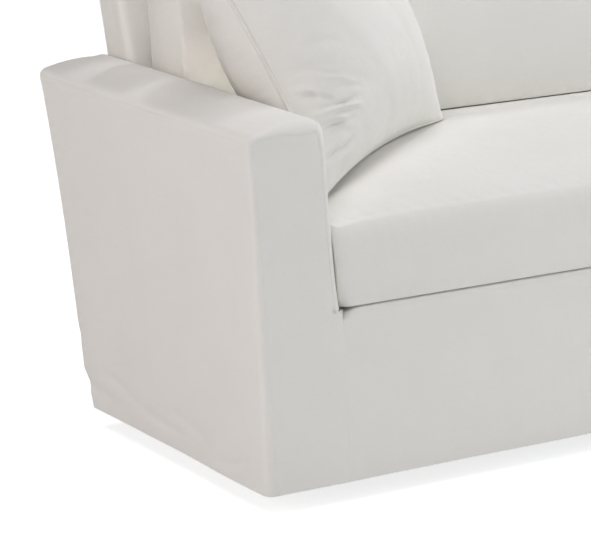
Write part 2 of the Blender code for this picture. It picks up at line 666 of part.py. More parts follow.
def corner_pillow(material):
    """Knife-edge pillow leaning in the left corner."""
    along, up, out = pillow_axes()
    t = np.sin(np.linspace(-np.pi / 2, np.pi / 2, 19))
    u, v = np.meshgrid(t, t)
    half = PILLOW_SIDE / 2
    plump = (np.clip(1 - np.abs(u) ** 2.2, 0, 1) * np.clip(1 - np.abs(v) ** 2.2, 0, 1)) ** 0.6
    a = half + half * u * (1 - PILLOW_DRAWN_SIDE * (1 - v * v))
    b = half + half * v * (1 - PILLOW_DRAWN_LOW * (1 - u * u))
    middle = np.array(PILLOW_CORNER) + a[..., None] * along + b[..., None] * up
    fuller = 1 + PILLOW_REAR_FULL * (1 - v) / 2
    front = fit_pillow(middle + (PILLOW_HALF_THICK * plump)[..., None] * out)
    rear = fit_pillow(middle - (PILLOW_HALF_THICK * plump * fuller)[..., None] * out)
    rows, columns = u.shape
    count = rows * columns
    around = ring(rows, columns)
    shared = {count + k: k for k in around}
    faces = grid_faces(rows, columns, 0, False)
    faces += [tuple(shared.get(k, k) for k in face) for face in grid_faces(rows, columns, count, True)]
    points = np.concatenate((front.reshape(-1, 3), rear.reshape(-1, 3)))
    used = sorted({k for face in faces for k in face})
    number = {k: n for n, k in enumerate(used)}
    faces = [tuple(number[k] for k in face) for face in faces]
    add_mesh("corner_pillow", points[used], faces, material)


def main():
    """Clears the scene and builds every panel and cushion."""
    for thing in list(bpy.data.objects):
        bpy.data.objects.remove(thing, do_unlink=True)
    cover = linen("cover_linen", (0.62, 0.60, 0.57))
    seat = linen("seat_linen", (0.66, 0.645, 0.62))
    back = linen("back_linen", (0.62, 0.60, 0.575))
    pillow = linen("pillow_linen", (0.63, 0.62, 0.60))
    hollow = (0.06, 0.40, 0.30)
    for side, mirrored in (("left", False), ("right", True)):
        outside = arm_grid(OUTER_ROWS, 13, OUTSIDE_WAVES)
        panel(f"outer_arm_{side}", outside, hollow, cover, mirrored)
        panel(f"arm_top_{side}", arm_grid(TOP_ROWS, 12, TOP_WAVES), hollow, cover, mirrored)
        inside = arm_grid(INNER_ROWS, 9, TOP_WAVES, rear=False)
        panel(f"inside_arm_{side}", inside, (0.02, 0.3, 0.45), cover, mirrored)
        panel(f"arm_front_{side}", front_facing(), hollow, cover, mirrored)
        panel(f"arm_rear_{side}", rear_facing(), hollow, cover, mirrored)
        back_cushion(f"back_cushion_{side}", mirrored, back)
    centre = (WIDTH / 2, 0.70, 0.2)
    panel("front_apron", apron_grid(), (WIDTH / 2, 0.3, 0.1), cover)
    panel("seat_deck", deck_grid(), (WIDTH / 2, 0.3, 0.1), cover)
    panel("inside_back", inside_back_grid(), (WIDTH / 2, 2.0, 0.5), cover)
    panel("back_band", back_band_grid(), centre, cover)
    panel("outside_back", outside_back_grid(), (WIDTH / 2, -2.0, 0.5), cover)
    seat_cushion(seat)
    corner_pillow(pillow)


main()
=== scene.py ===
"""A fitted linen slipcover on its sofa's form, with its box cushions and a soft corner pillow.

Every panel is a thin sheet worked out as a surface of two parameters and then given its sewn
edges, its hems and its soft troughs and ridges. Lengths are in metres. Shapes are worked out with
the floor at z = 0, the left hem at x = 0 and the front hem at y = 0, and moved into the row's
frame as meshes are made.
"""

import logging
from collections.abc import Callable
from dataclasses import dataclass
from enum import Enum

import bmesh
import bpy
import numpy as np
from mathutils import Matrix


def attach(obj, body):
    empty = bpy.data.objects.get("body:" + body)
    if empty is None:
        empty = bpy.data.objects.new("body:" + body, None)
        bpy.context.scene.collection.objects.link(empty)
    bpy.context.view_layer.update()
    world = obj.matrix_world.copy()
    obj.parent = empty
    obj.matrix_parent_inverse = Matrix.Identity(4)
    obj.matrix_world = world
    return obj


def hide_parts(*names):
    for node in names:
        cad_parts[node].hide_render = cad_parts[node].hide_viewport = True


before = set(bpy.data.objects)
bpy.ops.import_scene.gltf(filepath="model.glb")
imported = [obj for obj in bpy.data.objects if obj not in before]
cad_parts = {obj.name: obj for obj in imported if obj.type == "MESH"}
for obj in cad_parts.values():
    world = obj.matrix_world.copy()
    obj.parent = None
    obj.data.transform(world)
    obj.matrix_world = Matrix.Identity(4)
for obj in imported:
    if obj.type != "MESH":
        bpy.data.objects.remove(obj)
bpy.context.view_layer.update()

Array = np.ndarray
Point = tuple[float, float]
Place = tuple[float, float, float]

logging.basicConfig(level=logging.INFO, format="%(message)s")
log = logging.getLogger("slipcover")


class Side(Enum):
    """Which end of the sofa a piece belongs to."""

    LEFT = "left"
    RIGHT = "right"


class Edge(Enum):
    """How an edge of a cloth panel is finished."""

    TOPSTITCHED = "topstitched"
    SEWN = "sewn"
    HEM = "hem"
    HIDDEN = "hidden"


# --- small maths ----------------------------------------------------------------------------------


def ease(t: Array) -> Array:
    """Returns the smooth step 3t^2 - 2t^3 of t held between 0 and 1."""
    t = np.clip(t, 0.0, 1.0)
    return t * t * (3.0 - 2.0 * t)


def bell(t: Array) -> Array:
    """Returns exp(-t^2), the cross-section of a soft fold."""
    return np.exp(-t * t)


def soft_ramp(t: Array, width: float) -> Array:
    """Returns 0 below zero and t above it, with a rounded knee of the given width."""
    return (t + np.sqrt(t * t + width * width)) / 2.0


def unit(v: Array) -> Array:
    """Returns the vectors in the last axis scaled to length 1."""
    return v / np.maximum(np.linalg.norm(v, axis=-1, keepdims=True), 1e-12)


def distance_along(points: Array, axis: int) -> Array:
    """Running length of a grid's lines.

    Args:
        points: grid of points, rows by columns by 3.
        axis: 0 for lines up the rows, 1 for lines along the columns.

    Returns:
        The length from the first point of each line to each of its points.
    """
    steps = np.linalg.norm(np.diff(points, axis=axis), axis=2)
    start = np.zeros_like(np.take(steps, [0], axis=axis))
    return np.concatenate((start, np.cumsum(steps, axis=axis)), axis=axis)


def grid_normals(points: Array) -> Array:
    """Unit normals of a grid, each the average of the quads round it, carried on to the edges.

    Args:
        points: grid of points, rows by columns by 3.

    Returns:
        Array of the same shape.
    """
    quads = np.cross(points[1:, 1:] - points[:-1, :-1], points[:-1, 1:] - points[1:, :-1])
    padded = np.pad(quads, ((1, 1), (1, 1), (0, 0)), mode="edge")
    total = padded[:-1, :-1] + padded[:-1, 1:] + padded[1:, :-1] + padded[1:, 1:]
    return unit(total)


def ragged(s: Array, pitch: float, seed: int) -> Array:
    """Uneven wave of about unit height: three sines whose pitches don't divide each other.

    Args:
        s: distance along a seam.
        pitch: mean distance between crests.
        seed: changes the phases.

    Returns:
        The wave's height at each s.
    """
    turns = 2 * np.pi * s / pitch
    wave = np.sin(turns + 1.7 * seed) + 0.6 * np.sin(0.618 * turns + 2.3 * seed)
    return (wave + 0.5 * np.sin(1.73 * turns + 0.9 * seed)) / 1.5


# --- the cloth's details --------------------------------------------------------------------------


@dataclass(frozen=True)
class Stitching:
    """Sizes of the sewn edges of a panel."""

    dip: float = 0.0005
    dip_width: float = 0.0016
    flap: float = 0.0095
    flap_rise: float = 0.0005
    groove: float = 0.0004
    groove_width: float = 0.0011
    hem: float = 0.030
    hem_rise: float = 0.0006
    step: float = 0.003
    lap: float = 0.00040

    def marks(self, edge: Edge) -> Array:
        """Distances from an edge at which a grid needs lines to carry its sewing.

        Args:
            edge: the edge's finish.

        Returns:
            Rising distances that start at 0.
        """
        around = np.array((-1.6, -0.8, 0.0, 0.8, 1.6)) * self.groove_width
        if edge is Edge.TOPSTITCHED:
            return np.concatenate(((0.0, 0.0012, 0.0026, 0.0050), self.flap + around))
        if edge is Edge.HEM:
            return np.concatenate(((0.0, 0.0015, 0.007, 0.015, 0.023), self.hem + around))
        if edge is Edge.SEWN:
            return np.array((0.0, 0.0012, 0.0028, 0.0060))
        return np.array((0.0,))

    def height(self, edge: Edge, d: Array) -> Array:
        """Relief of the cloth beside an edge: a dip at a seam, a raised flap, a stitched groove.

        Args:
            edge: the edge's finish.
            d: distance from the edge.

        Returns:
            Height along the cloth's outward normal.
        """
        if edge is Edge.HIDDEN:
            return np.zeros_like(d)
        if edge is Edge.HEM:
            flap = self.hem_rise * (1 - ease((d - self.hem) / self.step))
            return flap - self.groove * bell((d - self.hem) / self.groove_width)
        seam = -self.dip * bell(d / self.dip_width)
        if edge is Edge.SEWN:
            return seam
        flap = self.flap_rise * (1 - ease((d - self.flap) / self.step))
        return seam + flap - self.groove * bell((d - self.flap) / self.groove_width)


@dataclass(frozen=True)
class Fold:
    """One soft trough or ridge in a panel, from start to end in the panel's own metres."""

    start: Point
    end: Point
    width: float
    height: float
    bow: float = 0.0

    def relief(self, s: Array, t: Array) -> Array:
        """Height of the fold: a bell across its bowed centre line that fades to its ends.

        Args:
            s: distance across the panel.
            t: distance up the panel.

        Returns:
            Height along the outward normal.
        """
        dx, dy = self.end[0] - self.start[0], self.end[1] - self.start[1]
        length = np.hypot(dx, dy)
        along = ((s - self.start[0]) * dx + (t - self.start[1]) * dy) / length**2
        off = ((t - self.start[1]) * dx - (s - self.start[0]) * dy) / length
        held = np.sin(np.pi * np.clip(along, 0.0, 1.0))
        return self.height * held * bell((off - self.bow * held) / self.width)


@dataclass(frozen=True)
class Wave:
    """A slanted sine wave over a panel: height, turns across and up the whole panel, phase."""

    height: float
    across: float
    up: float
    phase: float

    def relief(self, a: Array, b: Array) -> Array:
        """Returns the wave's height where a and b run from 0 to 1 over the panel."""
        return self.height * np.sin(2 * np.pi * (self.across * a + self.up * b) + self.phase)


def spaced(low: Array, high: Array, length: float, pitch: float) -> Array:
    """Rising positions over a length, with the given marks at each end and even steps between.

    Args:
        low: distances from the start.
        high: distances from the end.
        length: the whole length.
        pitch: largest step between the marks.

    Returns:
        Positions from 0 to length.
    """
    first, last = low[-1], length - high[-1]
    count = max(2, int(np.ceil((last - first) / pitch)) + 1)
    middle = np.linspace(first, last, count)[1:-1]
    return np.concatenate((low, middle, length - high[::-1]))


def between(near: Array, far: Array, length: Array, count: int) -> Array:
    """Distances along lines of unequal length, with the same marks at each end of every line.

    Args:
        near: distances from the start.
        far: distances from the end.
        length: length of each line, a column.
        count: number of even steps between the marks, plus one.

    Returns:
        One row of rising distances for each line.
    """
    share = np.linspace(0, 1, count)[None, 1:-1]
    middle = near[-1] + share * (length - near[-1] - far[-1])
    start = np.broadcast_to(near, (len(length), len(near)))
    return np.concatenate((start, middle, length - far[::-1]), axis=1)


STITCHING = Stitching()


# --- meshes ---------------------------------------------------------------------------------------


def quads_of(rows: int, columns: int, start: int = 0) -> Array:
    """Numbers the vertices of a grid's quads.

    Args:
        rows: number of the grid's rows.
        columns: number of its columns.
        start: number of its first vertex.

    Returns:
        One row of four vertex numbers for each quad.
    """
    i, j = np.meshgrid(np.arange(rows - 1), np.arange(columns - 1), indexing="ij")
    a = (start + i * columns + j).ravel()
    return np.stack((a, a + 1, a + columns + 1, a + columns), axis=1)


def rim_of(rows: int, columns: int) -> Array:
    """Numbers the vertices round the edge of a grid.

    Args:
        rows: number of the grid's rows.
        columns: number of its columns.

    Returns:
        Vertex numbers in order round the edge, each once.
    """
    across, up = np.arange(columns), np.arange(1, rows)
    top = (rows - 1) * columns + np.arange(columns - 2, -1, -1)
    return np.concatenate((across, up * columns + columns - 1, top, up[-2::-1] * columns))


def new_object(name: str, vertices: Array, faces: Array, uv: Array) -> bpy.types.Object:
    """Makes a smooth-shaded mesh object in the row's frame.

    Args:
        name: the piece's name.
        vertices: points in the floor frame.
        faces: vertex numbers, one row of four for each quad.
        uv: position on the cloth, in metres, for each vertex.

    Returns:
        The linked object, at the origin.
    """
    mesh = bpy.data.meshes.new(name)
    mesh.from_pydata((vertices - FORM.origin).tolist(), [], faces.tolist())
    layer = mesh.uv_layers.new(name="cloth")
    corners = np.empty(len(mesh.loops), dtype=np.int32)
    mesh.loops.foreach_get("vertex_index", corners)
    layer.data.foreach_set("uv", uv[corners].astype(np.float32).ravel())
    mesh.shade_smooth()
    piece = bpy.data.objects.new(name, mesh)
    bpy.context.scene.collection.objects.link(piece)
    return piece


def keep_sharp(piece: bpy.types.Object, rims: tuple[Array, Array]) -> None:
    """Keeps the cut edges of a sheet sharp, so that its faces are shaded as cloth up to a seam.

    Args:
        piece: the sheet.
        rims: vertex numbers round its face and round its back.
    """
    ends = np.empty(2 * len(piece.data.edges), dtype=np.int32)
    piece.data.edges.foreach_get("vertices", ends)
    sharp = np.zeros(len(piece.data.edges), dtype=bool)
    for rim in rims:
        sharp |= np.isin(ends.reshape(-1, 2), rim).all(axis=1)
    piece.data.edges.foreach_set("use_edge_sharp", sharp)


def mirrored(points: Array) -> Array:
    """Returns points reflected to the other end of the sofa."""
    return points * (-1.0, 1.0, 1.0) + (FORM.width, 0.0, 0.0)


@dataclass
class Panel:
    """A sewn sheet of cloth over a grid; its edges are named as its front is looked at."""

    name: str
    points: Array
    behind: Place
    bottom: Edge = Edge.HIDDEN
    top: Edge = Edge.HIDDEN
    first: Edge = Edge.HIDDEN
    last: Edge = Edge.HIDDEN
    folds: tuple[Fold, ...] = ()
    waves: tuple[Wave, ...] = ()
    thickness: float = 0.0018
    fade: float = 0.03

    def relief(self, s: Array, t: Array) -> Array:
        """Adds up the panel's sewing, folds and waves; folds and waves fade out beside a seam.

        Args:
            s: distance along the columns, from the first edge.
            t: distance up the rows, from the bottom edge.

        Returns:
            Height along the outward normal at each point.
        """
        width, length = s[:, -1:], t[-1:]
        a, b = s / width, t / length
        total = sum((wave.relief(a, b) for wave in self.waves), np.zeros_like(s))
        total = total + sum((fold.relief(s, t) for fold in self.folds), np.zeros_like(s))
        for d in (s, width - s, length - t):
            total = total * ease(d / self.fade)
        edges = (self.first, self.last, self.bottom, self.top)
        for edge, d in zip(edges, (s, width - s, t, length - t)):
            total = total + STITCHING.height(edge, d)
        return total

    def _lapped(self, face: Array) -> Array:
        """Carries the face's sewn edges on until they meet the next panel's.

        Args:
            face: the panel's outer face.

        Returns:
            The face with its sewn edges moved.
        """
        face = face.copy()
        for edge, line, inner in (
            (self.bottom, np.s_[0], np.s_[1]),
            (self.top, np.s_[-1], np.s_[-2]),
            (self.first, np.s_[:, 0], np.s_[:, 1]),
            (self.last, np.s_[:, -1], np.s_[:, -2]),
        ):
            if edge in (Edge.TOPSTITCHED, Edge.SEWN):
                face[line] = face[line] + unit(face[line] - face[inner]) * STITCHING.lap
        return face

    def build(self, side: Side = Side.LEFT) -> bpy.types.Object:
        """Makes the sheet: the grid moved by its relief, a second face behind it and a closed rim.

        Args:
            side: RIGHT reflects the panel to the other end of the sofa.

        Returns:
            The new object.
        """
        s, t = distance_along(self.points, 1), distance_along(self.points, 0)
        points, behind = self.points, np.array(self.behind)
        if side is Side.RIGHT:
            points, behind = mirrored(points), mirrored(behind)
        normals = grid_normals(points)
        outward = np.sum(normals * (points - behind)) > 0
        normals = normals if outward else -normals
        face = self._lapped(points + normals * self.relief(s, t)[..., None])
        back = face - normals * self.thickness
        rows, columns = s.shape
        count = rows * columns
        front_quads, back_quads = quads_of(rows, columns), quads_of(rows, columns, count)
        rim = rim_of(rows, columns)
        after = np.roll(rim, -1)
        wall = np.stack((after, rim, rim + count, after + count), axis=1)
        if outward:
            faces = np.concatenate((front_quads[:, ::-1], back_quads, wall[:, ::-1]))
        else:
            faces = np.concatenate((front_quads, back_quads[:, ::-1], wall))
        vertices = np.concatenate((face.reshape(-1, 3), back.reshape(-1, 3)))
        uv = np.stack((s, t), axis=2).reshape(-1, 2)
        piece = new_object(self.name, vertices, faces, np.concatenate((uv, uv)))
        keep_sharp(piece, (rim, rim + count))
        return piece


def joined(name: str, grids: list[tuple[Array, Array]]) -> bpy.types.Object:
    """Makes one closed skin of grids whose edges meet.

    Args:
        name: the piece's name.
        grids: pairs of points and positions on the cloth.

    Returns:
        The new object, its meeting points merged and its faces turned outwards.
    """
    vertices, faces, uv, start = [], [], [], 0
    for points, cloth in grids:
        rows, columns = points.shape[:2]
        vertices.append(points.reshape(-1, 3))
        faces.append(quads_of(rows, columns, start))
        uv.append(cloth.reshape(-1, 2))
        start += rows * columns
    piece = new_object(name, np.concatenate(vertices), np.concatenate(faces), np.concatenate(uv))
    skin = bmesh.new()
    skin.from_mesh(piece.data)
    bmesh.ops.remove_doubles(skin, verts=skin.verts, dist=2e-5)
    bmesh.ops.recalc_face_normals(skin, faces=skin.faces)
    skin.to_mesh(piece.data)
    skin.free()
    return piece


# --- the sofa's form ------------------------------------------------------------------------------


@dataclass(frozen=True)
class SofaForm:
    """The covered sofa's outer form."""

    # The whole: its width, the levels that panels share, and the seams between them.
    width: float = 2.14
    hem_z: float = 0.040
    deck_z: float = 0.338
    back_top_z: float = 0.860
    seam_gap: float = 0.0006
    clear: float = 0.002
    # The mount, on the underside of the cloth over the back's top.
    mount_y: float = 0.785
    mount_drop: float = 0.002
    # The arms, and the apron's seam beside them.
    arm_edge_z: float = 0.646
    arm_crown: float = 0.020
    arm_crown_reach: float = 0.10
    arm_lean: float = 0.030
    arm_inner_deck_x: float = 0.1425
    arm_inner_lean: float = 0.026
    arm_inner_lean_tall: float = 0.265
    front_bulge: float = 0.010
    apron_x: float = 0.1535
    apron_slant: float = 0.009
    apron_slant_z: float = 0.240
    apron_slant_top_z: float = 0.331
    # The rear and the front of the back.
    rear_y_at_arm: float = 0.767
    rear_rake: float = 0.154
    back_rake_more: float = 0.13
    rake_knee: float = 0.02
    hem_tuck: float = 0.015
    hem_tuck_top_z: float = 0.135
    inside_back_foot_y: float = 0.600
    inside_back_rake: float = 0.225
    inside_back_rake_more: float = 0.09
    inside_back_bend_z: float = 0.66
    # The seat cushion.
    seat_front_y: float = 0.003
    seat_rear_y: float = 0.590
    seat_bottom_z: float = 0.3405
    seat_edge_z: float = 0.4925
    seat_crown: float = 0.050
    seat_side_x: float = 0.125
    seat_rise_side: float = 0.30
    seat_rise_front: float = 0.26
    seat_rise_rear: float = 0.14
    seat_droop: float = 0.009
    seat_droop_wide: float = 0.18
    seat_droop_deep: float = 0.10
    seat_shoulder: float = 0.008
    seat_shoulder_deep: float = 0.050
    seat_margin: float = 0.01

    @property
    def origin(self) -> Array:
        """The row's origin in the floor frame, under the top of the back."""
        return np.array((self.width / 2, self.mount_y, self.back_top_z - self.mount_drop))

    def outer_x(self, z: Array) -> Array:
        """Returns the outside arm face: three quarters of its lean is straight, the rest t^4."""
        t = (z - self.hem_z) / (self.arm_edge_z - self.hem_z)
        return -self.arm_lean * (0.75 * t + 0.25 * t**4)

    def inner_x(self, z: Array) -> Array:
        """Returns the inside arm face, which leans out from the deck upwards as t^0.75."""
        t = np.clip((z - self.deck_z) / self.arm_inner_lean_tall, 0.0, 1.3)
        return self.arm_inner_deck_x - self.arm_inner_lean * t**0.75

    def apron_edge_x(self, z: Array) -> Array:
        """Returns the apron's seam: upright, then a smooth step in towards the arm."""
        t = (z - self.apron_slant_z) / (self.apron_slant_top_z - self.apron_slant_z)
        return self.apron_x - self.apron_slant * ease(t)

    def arm_top_z(self, x: Array) -> Array:
        """Returns the padded arm top, a quarter sine that is lowest at its outer edge."""
        t = np.clip((x + self.arm_lean) / self.arm_crown_reach, 0.0, 1.0)
        return self.arm_edge_z + self.arm_crown * np.sin(t * np.pi / 2)

    def front_y(self, z: Array) -> Array:
        """Returns the front of arms and apron, a parabola a little proud near the top."""
        t = (z - self.hem_z) / (self.arm_edge_z - self.hem_z)
        return -self.front_bulge * t * t

    def rear_y(self, z: Array) -> Array:
        """Raked rear face, tucked in at the hem by a smooth step and raked further above the arms.

        Args:
            z: height off the floor.

        Returns:
            Depth of the face.
        """
        low = (self.hem_tuck_top_z - z) / (self.hem_tuck_top_z - self.hem_z)
        tuck = self.hem_tuck * ease(low)
        more = self.back_rake_more * soft_ramp(z - self.arm_edge_z, self.rake_knee)
        return self.rear_y_at_arm + self.rear_rake * (z - self.arm_edge_z) + more - tuck

    def inside_back_y(self, z: Array) -> Array:
        """Returns the front face of the back, a straight rake with a rounded knee to a second."""
        more = self.inside_back_rake_more * soft_ramp(z - self.inside_back_bend_z, self.rake_knee)
        return self.inside_back_foot_y + self.inside_back_rake * (z - self.deck_z) + more

    def seat_top_z(self, x: Array, y: Array) -> Array:
        """Seat cushion's top.

        It rises from each edge by a quarter sine, made fuller by a power just under 1. The front
        corners droop by a squared ramp from each side, and a squared ramp rounds the front edge.

        Args:
            x: distance from the hem's left end.
            y: distance from the front hem.

        Returns:
            Height of the top.
        """
        quarter = np.pi / 2
        inward = np.minimum(x - self.seat_side_x, self.width - self.seat_side_x - x)
        fore, aft = y - self.seat_front_y, self.seat_rear_y + self.seat_margin - y
        rise = np.sin(quarter * np.clip(inward / self.seat_rise_side, 0, 1)) ** 0.8
        rise = self.seat_crown * rise
        rise = rise * np.sin(quarter * np.clip(fore / self.seat_rise_front, 0, 1)) ** 0.9
        rise = rise * np.sin(quarter * np.clip(aft / self.seat_rise_rear, 0, 1)) ** 0.8
        wide = np.clip(1 - (inward - self.seat_margin) / self.seat_droop_wide, 0, 1) ** 2
        deep = np.clip(1 - fore / self.seat_droop_deep, 0, 1) ** 2
        shoulder = self.seat_shoulder * np.clip(1 - fore / self.seat_shoulder_deep, 0, 1) ** 2
        return self.seat_edge_z + rise - self.seat_droop * wide * deep - shoulder


FORM = SofaForm()


def reflected(line: Array) -> Array:
    """Returns a line in x and z reflected to the other end of the sofa."""
    return line * (-1.0, 1.0) + (FORM.width, 0.0)


class Outline:
    """A line in x and z, read by the distance along it."""

    def __init__(self, points: Array) -> None:
        """Keeps the line and its running length.

        Args:
            points: dense points along the line.
        """
        self.points = points
        steps = np.linalg.norm(np.diff(points, axis=0), axis=1)
        self.along = np.concatenate(((0.0,), np.cumsum(steps)))
        self.length = float(self.along[-1])

    def at(self, s: Array) -> Array:
        """Returns x and z at distance s."""
        return np.stack([np.interp(s, self.along, self.points[:, k]) for k in (0, 1)], axis=-1)

    def normal(self, s: Array, step: float = 0.002) -> Array:
        """Direction to the left of travel, which is outward here.

        Args:
            s: distances along the line.
            step: how far before and after s the line's direction is taken.

        Returns:
            Unit vectors in x and z.
        """
        ahead = self.at(np.minimum(s + step, self.length))
        tangent = unit(ahead - self.at(np.maximum(s - step, 0.0)))
        return np.stack((-tangent[..., 1], tangent[..., 0]), axis=-1)

    def inset(self, s: Array, depth: Array | float) -> Array:
        """Returns x and z at distance s, moved inward by a depth."""
        return self.at(s) - self.normal(s) * depth


def bend(a: Array, corner: Point, b: Array, count: int) -> Array:
    """Points inside the quadratic curve from a to b that turns at the corner.

    Args:
        a: first end.
        corner: control point.
        b: last end.
        count: number of points, ends left out.

    Returns:
        The points, count by 2.
    """
    t = np.linspace(0, 1, count + 2)[1:-1, None]
    return (1 - t) ** 2 * a + 2 * t * (1 - t) * np.array(corner) + t * t * b


# --- arms -----------------------------------------------------------------------------------------


OUTER_ARM_FOLDS = (
    Fold((0.025, 0.070), (0.215, 0.020), 0.0075, -0.0042, -0.016),
    Fold((0.20, 0.036), (0.38, 0.070), 0.0100, -0.0030, 0.006),
    Fold((0.30, 0.030), (0.50, 0.062), 0.0090, -0.0036, -0.008),
    Fold((0.46, 0.040), (0.62, 0.085), 0.0100, -0.0036, 0.006),
    Fold((0.56, 0.034), (0.76, 0.066), 0.0095, -0.0042, -0.006),
    Fold((0.64, 0.095), (0.78, 0.050), 0.0100, 0.0034, -0.006),
    Fold((0.66, 0.150), (0.78, 0.075), 0.0130, -0.0036, 0.006),
    Fold((0.33, 0.34), (0.36, 0.57), 0.030, -0.0018, 0.010),
    Fold((0.16, 0.26), (0.20, 0.54), 0.035, 0.0016, -0.012),
    Fold((0.52, 0.20), (0.58, 0.50), 0.045, -0.0016, 0.015),
)
OUTER_ARM_WAVES = (
    Wave(0.0012, 1.2, 0.4, 0.5),
    Wave(0.0009, 0.5, 1.6, 2.0),
    Wave(0.0006, 2.6, 0.8, 4.0),
)
ARM_TOP_FOLDS = (Fold((0.30, 0.03), (0.44, 0.11), 0.014, -0.0012, 0.004),)
ARM_TOP_WAVES = (Wave(0.0012, 1.4, 0.4, 1.0), Wave(0.0008, 2.7, 0.9, 3.0))
INSIDE_ARM_WAVES = (Wave(0.0010, 1.4, 0.4, 1.0),)
ARM_FRONT_FOLDS = (Fold((0.05, 0.10), (0.07, 0.40), 0.025, -0.0012, 0.004),)
ARM_REAR_FOLDS = (Fold((0.04, 0.15), (0.09, 0.50), 0.022, -0.0012, 0.004),)


@dataclass
class Arm:
    """A padded track arm in five panels; the right one is the left one reflected."""

    side: Side
    # The outline's corners and its two long seams.
    outer_fillet: float = 0.016
    inner_fillet: float = 0.036
    inner_top_x: float = 0.1165
    outer_corner_rise: float = 0.002
    outer_seam_z: float = 0.636
    inner_seam_x: float = 0.1040
    inner_seam_low_z: float = 0.640
    # How far the cloth rolls over the arm's ends, round the outline. The inside panel's rear end
    # is square, which is a roll too small to see.
    hem_roll: float = 0.016
    side_roll: float = 0.012
    edge_roll: float = 0.007
    crest_roll: float = 0.023
    rear_crest_roll: float = 0.034
    inner_edge_roll: float = 0.019
    inside_roll: float = 0.011
    square_roll: float = 1e-6
    # Grid lines where the cloth rolls, and the steps between the others.
    roll_marks: tuple[float, ...] = (0.014, 0.018, 0.023, 0.029, 0.036, 0.044)
    rear_mark: float = 0.054
    plain_marks: tuple[float, ...] = (0.0, 0.01, 0.03)
    pitch: float = 0.007
    top_pitch: float = 0.005
    inside_pitch: float = 0.008
    # The facings.
    facing_wide: float = 0.14
    facing_middle_z: float = 0.15
    front_swell: float = -0.002
    rear_swell: float = 0.001
    rear_seam_x: float = 0.1210
    rear_seam_drop: float = 0.01
    # Points inside the arm and behind its inside panel, from which outward is told.
    middle: Place = (0.06, 0.40, 0.30)
    inside_middle: Place = (0.02, 0.3, 0.45)

    def __post_init__(self) -> None:
        """Works out the arm's outline and where its two long seams lie on it."""
        self.outline = Outline(self._outline_points())
        (x, z), along = self.outline.points.T, self.outline.along
        crest = int(np.argmax(z))
        self.outer_seam = float(np.interp(self.outer_seam_z, z[:crest], along[:crest]))
        past = (z > self.inner_seam_low_z) & (np.arange(len(z)) > crest)
        self.inner_seam = float(np.interp(self.inner_seam_x, x[past], along[past]))

    def _outline_points(self) -> Array:
        """Outline of the arm: up the outside, over the crown and down the inside to the deck.

        Returns:
            Dense points in x and z; both upper corners are quadratic curves.
        """
        z = np.linspace(FORM.hem_z, FORM.arm_edge_z - self.outer_fillet, 240)
        outside = np.stack((FORM.outer_x(z), z), axis=1)
        left = float(FORM.outer_x(np.array(FORM.arm_edge_z)))
        x = np.linspace(left + self.outer_fillet, self.inner_top_x - self.inner_fillet, 120)
        top = np.stack((x, FORM.arm_top_z(x)), axis=1)
        crest = FORM.arm_edge_z + FORM.arm_crown
        z = np.linspace(crest - self.inner_fillet, FORM.deck_z, 180)
        inside = np.stack((FORM.inner_x(z), z), axis=1)
        corner = (left, FORM.arm_edge_z + self.outer_corner_rise)
        first = bend(outside[-1], corner, top[0], 60)
        second = bend(top[-1], (self.inner_top_x, crest), inside[0], 80)
        return np.concatenate((outside, first, top, second, inside))

    def roll(self, s: Array, crest_roll: float) -> Array:
        """Radius with which the cloth rolls over the arm's ends, a broken line round the outline.

        The crest lies three quarters of the way across the top.

        Args:
            s: distance along the outline.
            crest_roll: radius over the padded crest.

        Returns:
            The radius at each s.
        """
        crest = self.outer_seam + 0.75 * (self.inner_seam - self.outer_seam)
        places = (0.0, 0.4 * self.outer_seam, self.outer_seam, crest)
        places += (self.inner_seam, self.inner_seam + 0.05)
        sizes = (self.hem_roll, self.side_roll, self.edge_roll, crest_roll)
        sizes += (self.inner_edge_roll, self.inside_roll)
        return np.interp(s, places, sizes)

    def long_panel(self, rows: Array, rear: bool) -> Array:
        """Grid of a panel that runs from the front of the arm to its rear.

        Each row follows the outline's point at distance s straight back, and turns through a
        quarter circle into the front facing and, if asked, into the rear facing.

        Args:
            rows: distances s along the outline.
            rear: whether the panel also rolls over the rear end.

        Returns:
            Grid of points.
        """
        base, normal = self.outline.at(rows), self.outline.normal(rows)
        z, turn = base[:, 1:2], np.pi / 2
        front, front_roll = FORM.front_y(z), self.roll(rows, self.crest_roll)[:, None]
        near = np.concatenate((STITCHING.marks(Edge.TOPSTITCHED), self.roll_marks))
        if rear:
            back, rear_roll = FORM.rear_y(z), self.roll(rows, self.rear_crest_roll)[:, None]
            far = np.append(near, self.rear_mark)
        else:
            back = FORM.inside_back_y(z) - FORM.clear
            rear_roll = np.full_like(front_roll, self.square_roll)
            far = np.array(self.plain_marks)
        length = (front_roll + rear_roll) * turn + (back - rear_roll) - (front + front_roll)
        count = int((length.mean() - near[-1] - far[-1]) / self.pitch)
        d = between(near, far, length, count)
        rest = length - d
        front_angle = np.minimum(d / front_roll, turn)
        rear_angle = np.minimum(rest / rear_roll, turn)
        inset = front_roll * (1 - np.sin(front_angle)) + rear_roll * (1 - np.sin(rear_angle))
        from_front = front + front_roll * (1 - np.cos(front_angle))
        from_front = from_front + np.maximum(d - front_roll * turn, 0)
        from_rear = back - rear_roll * (1 - np.cos(rear_angle))
        from_rear = from_rear - np.maximum(rest - rear_roll * turn, 0)
        y = np.where(d < length / 2, from_front, from_rear)
        x = base[:, :1] - normal[:, :1] * inset
        return np.stack((x, y, z - normal[:, 1:] * inset), axis=2)

    def inset_outline(self, rows: Array, crest_roll: float) -> Array:
        """Returns the outline at rows, drawn in by the roll and a seam's gap."""
        return self.outline.inset(rows, (self.roll(rows, crest_roll) + FORM.seam_gap)[:, None])

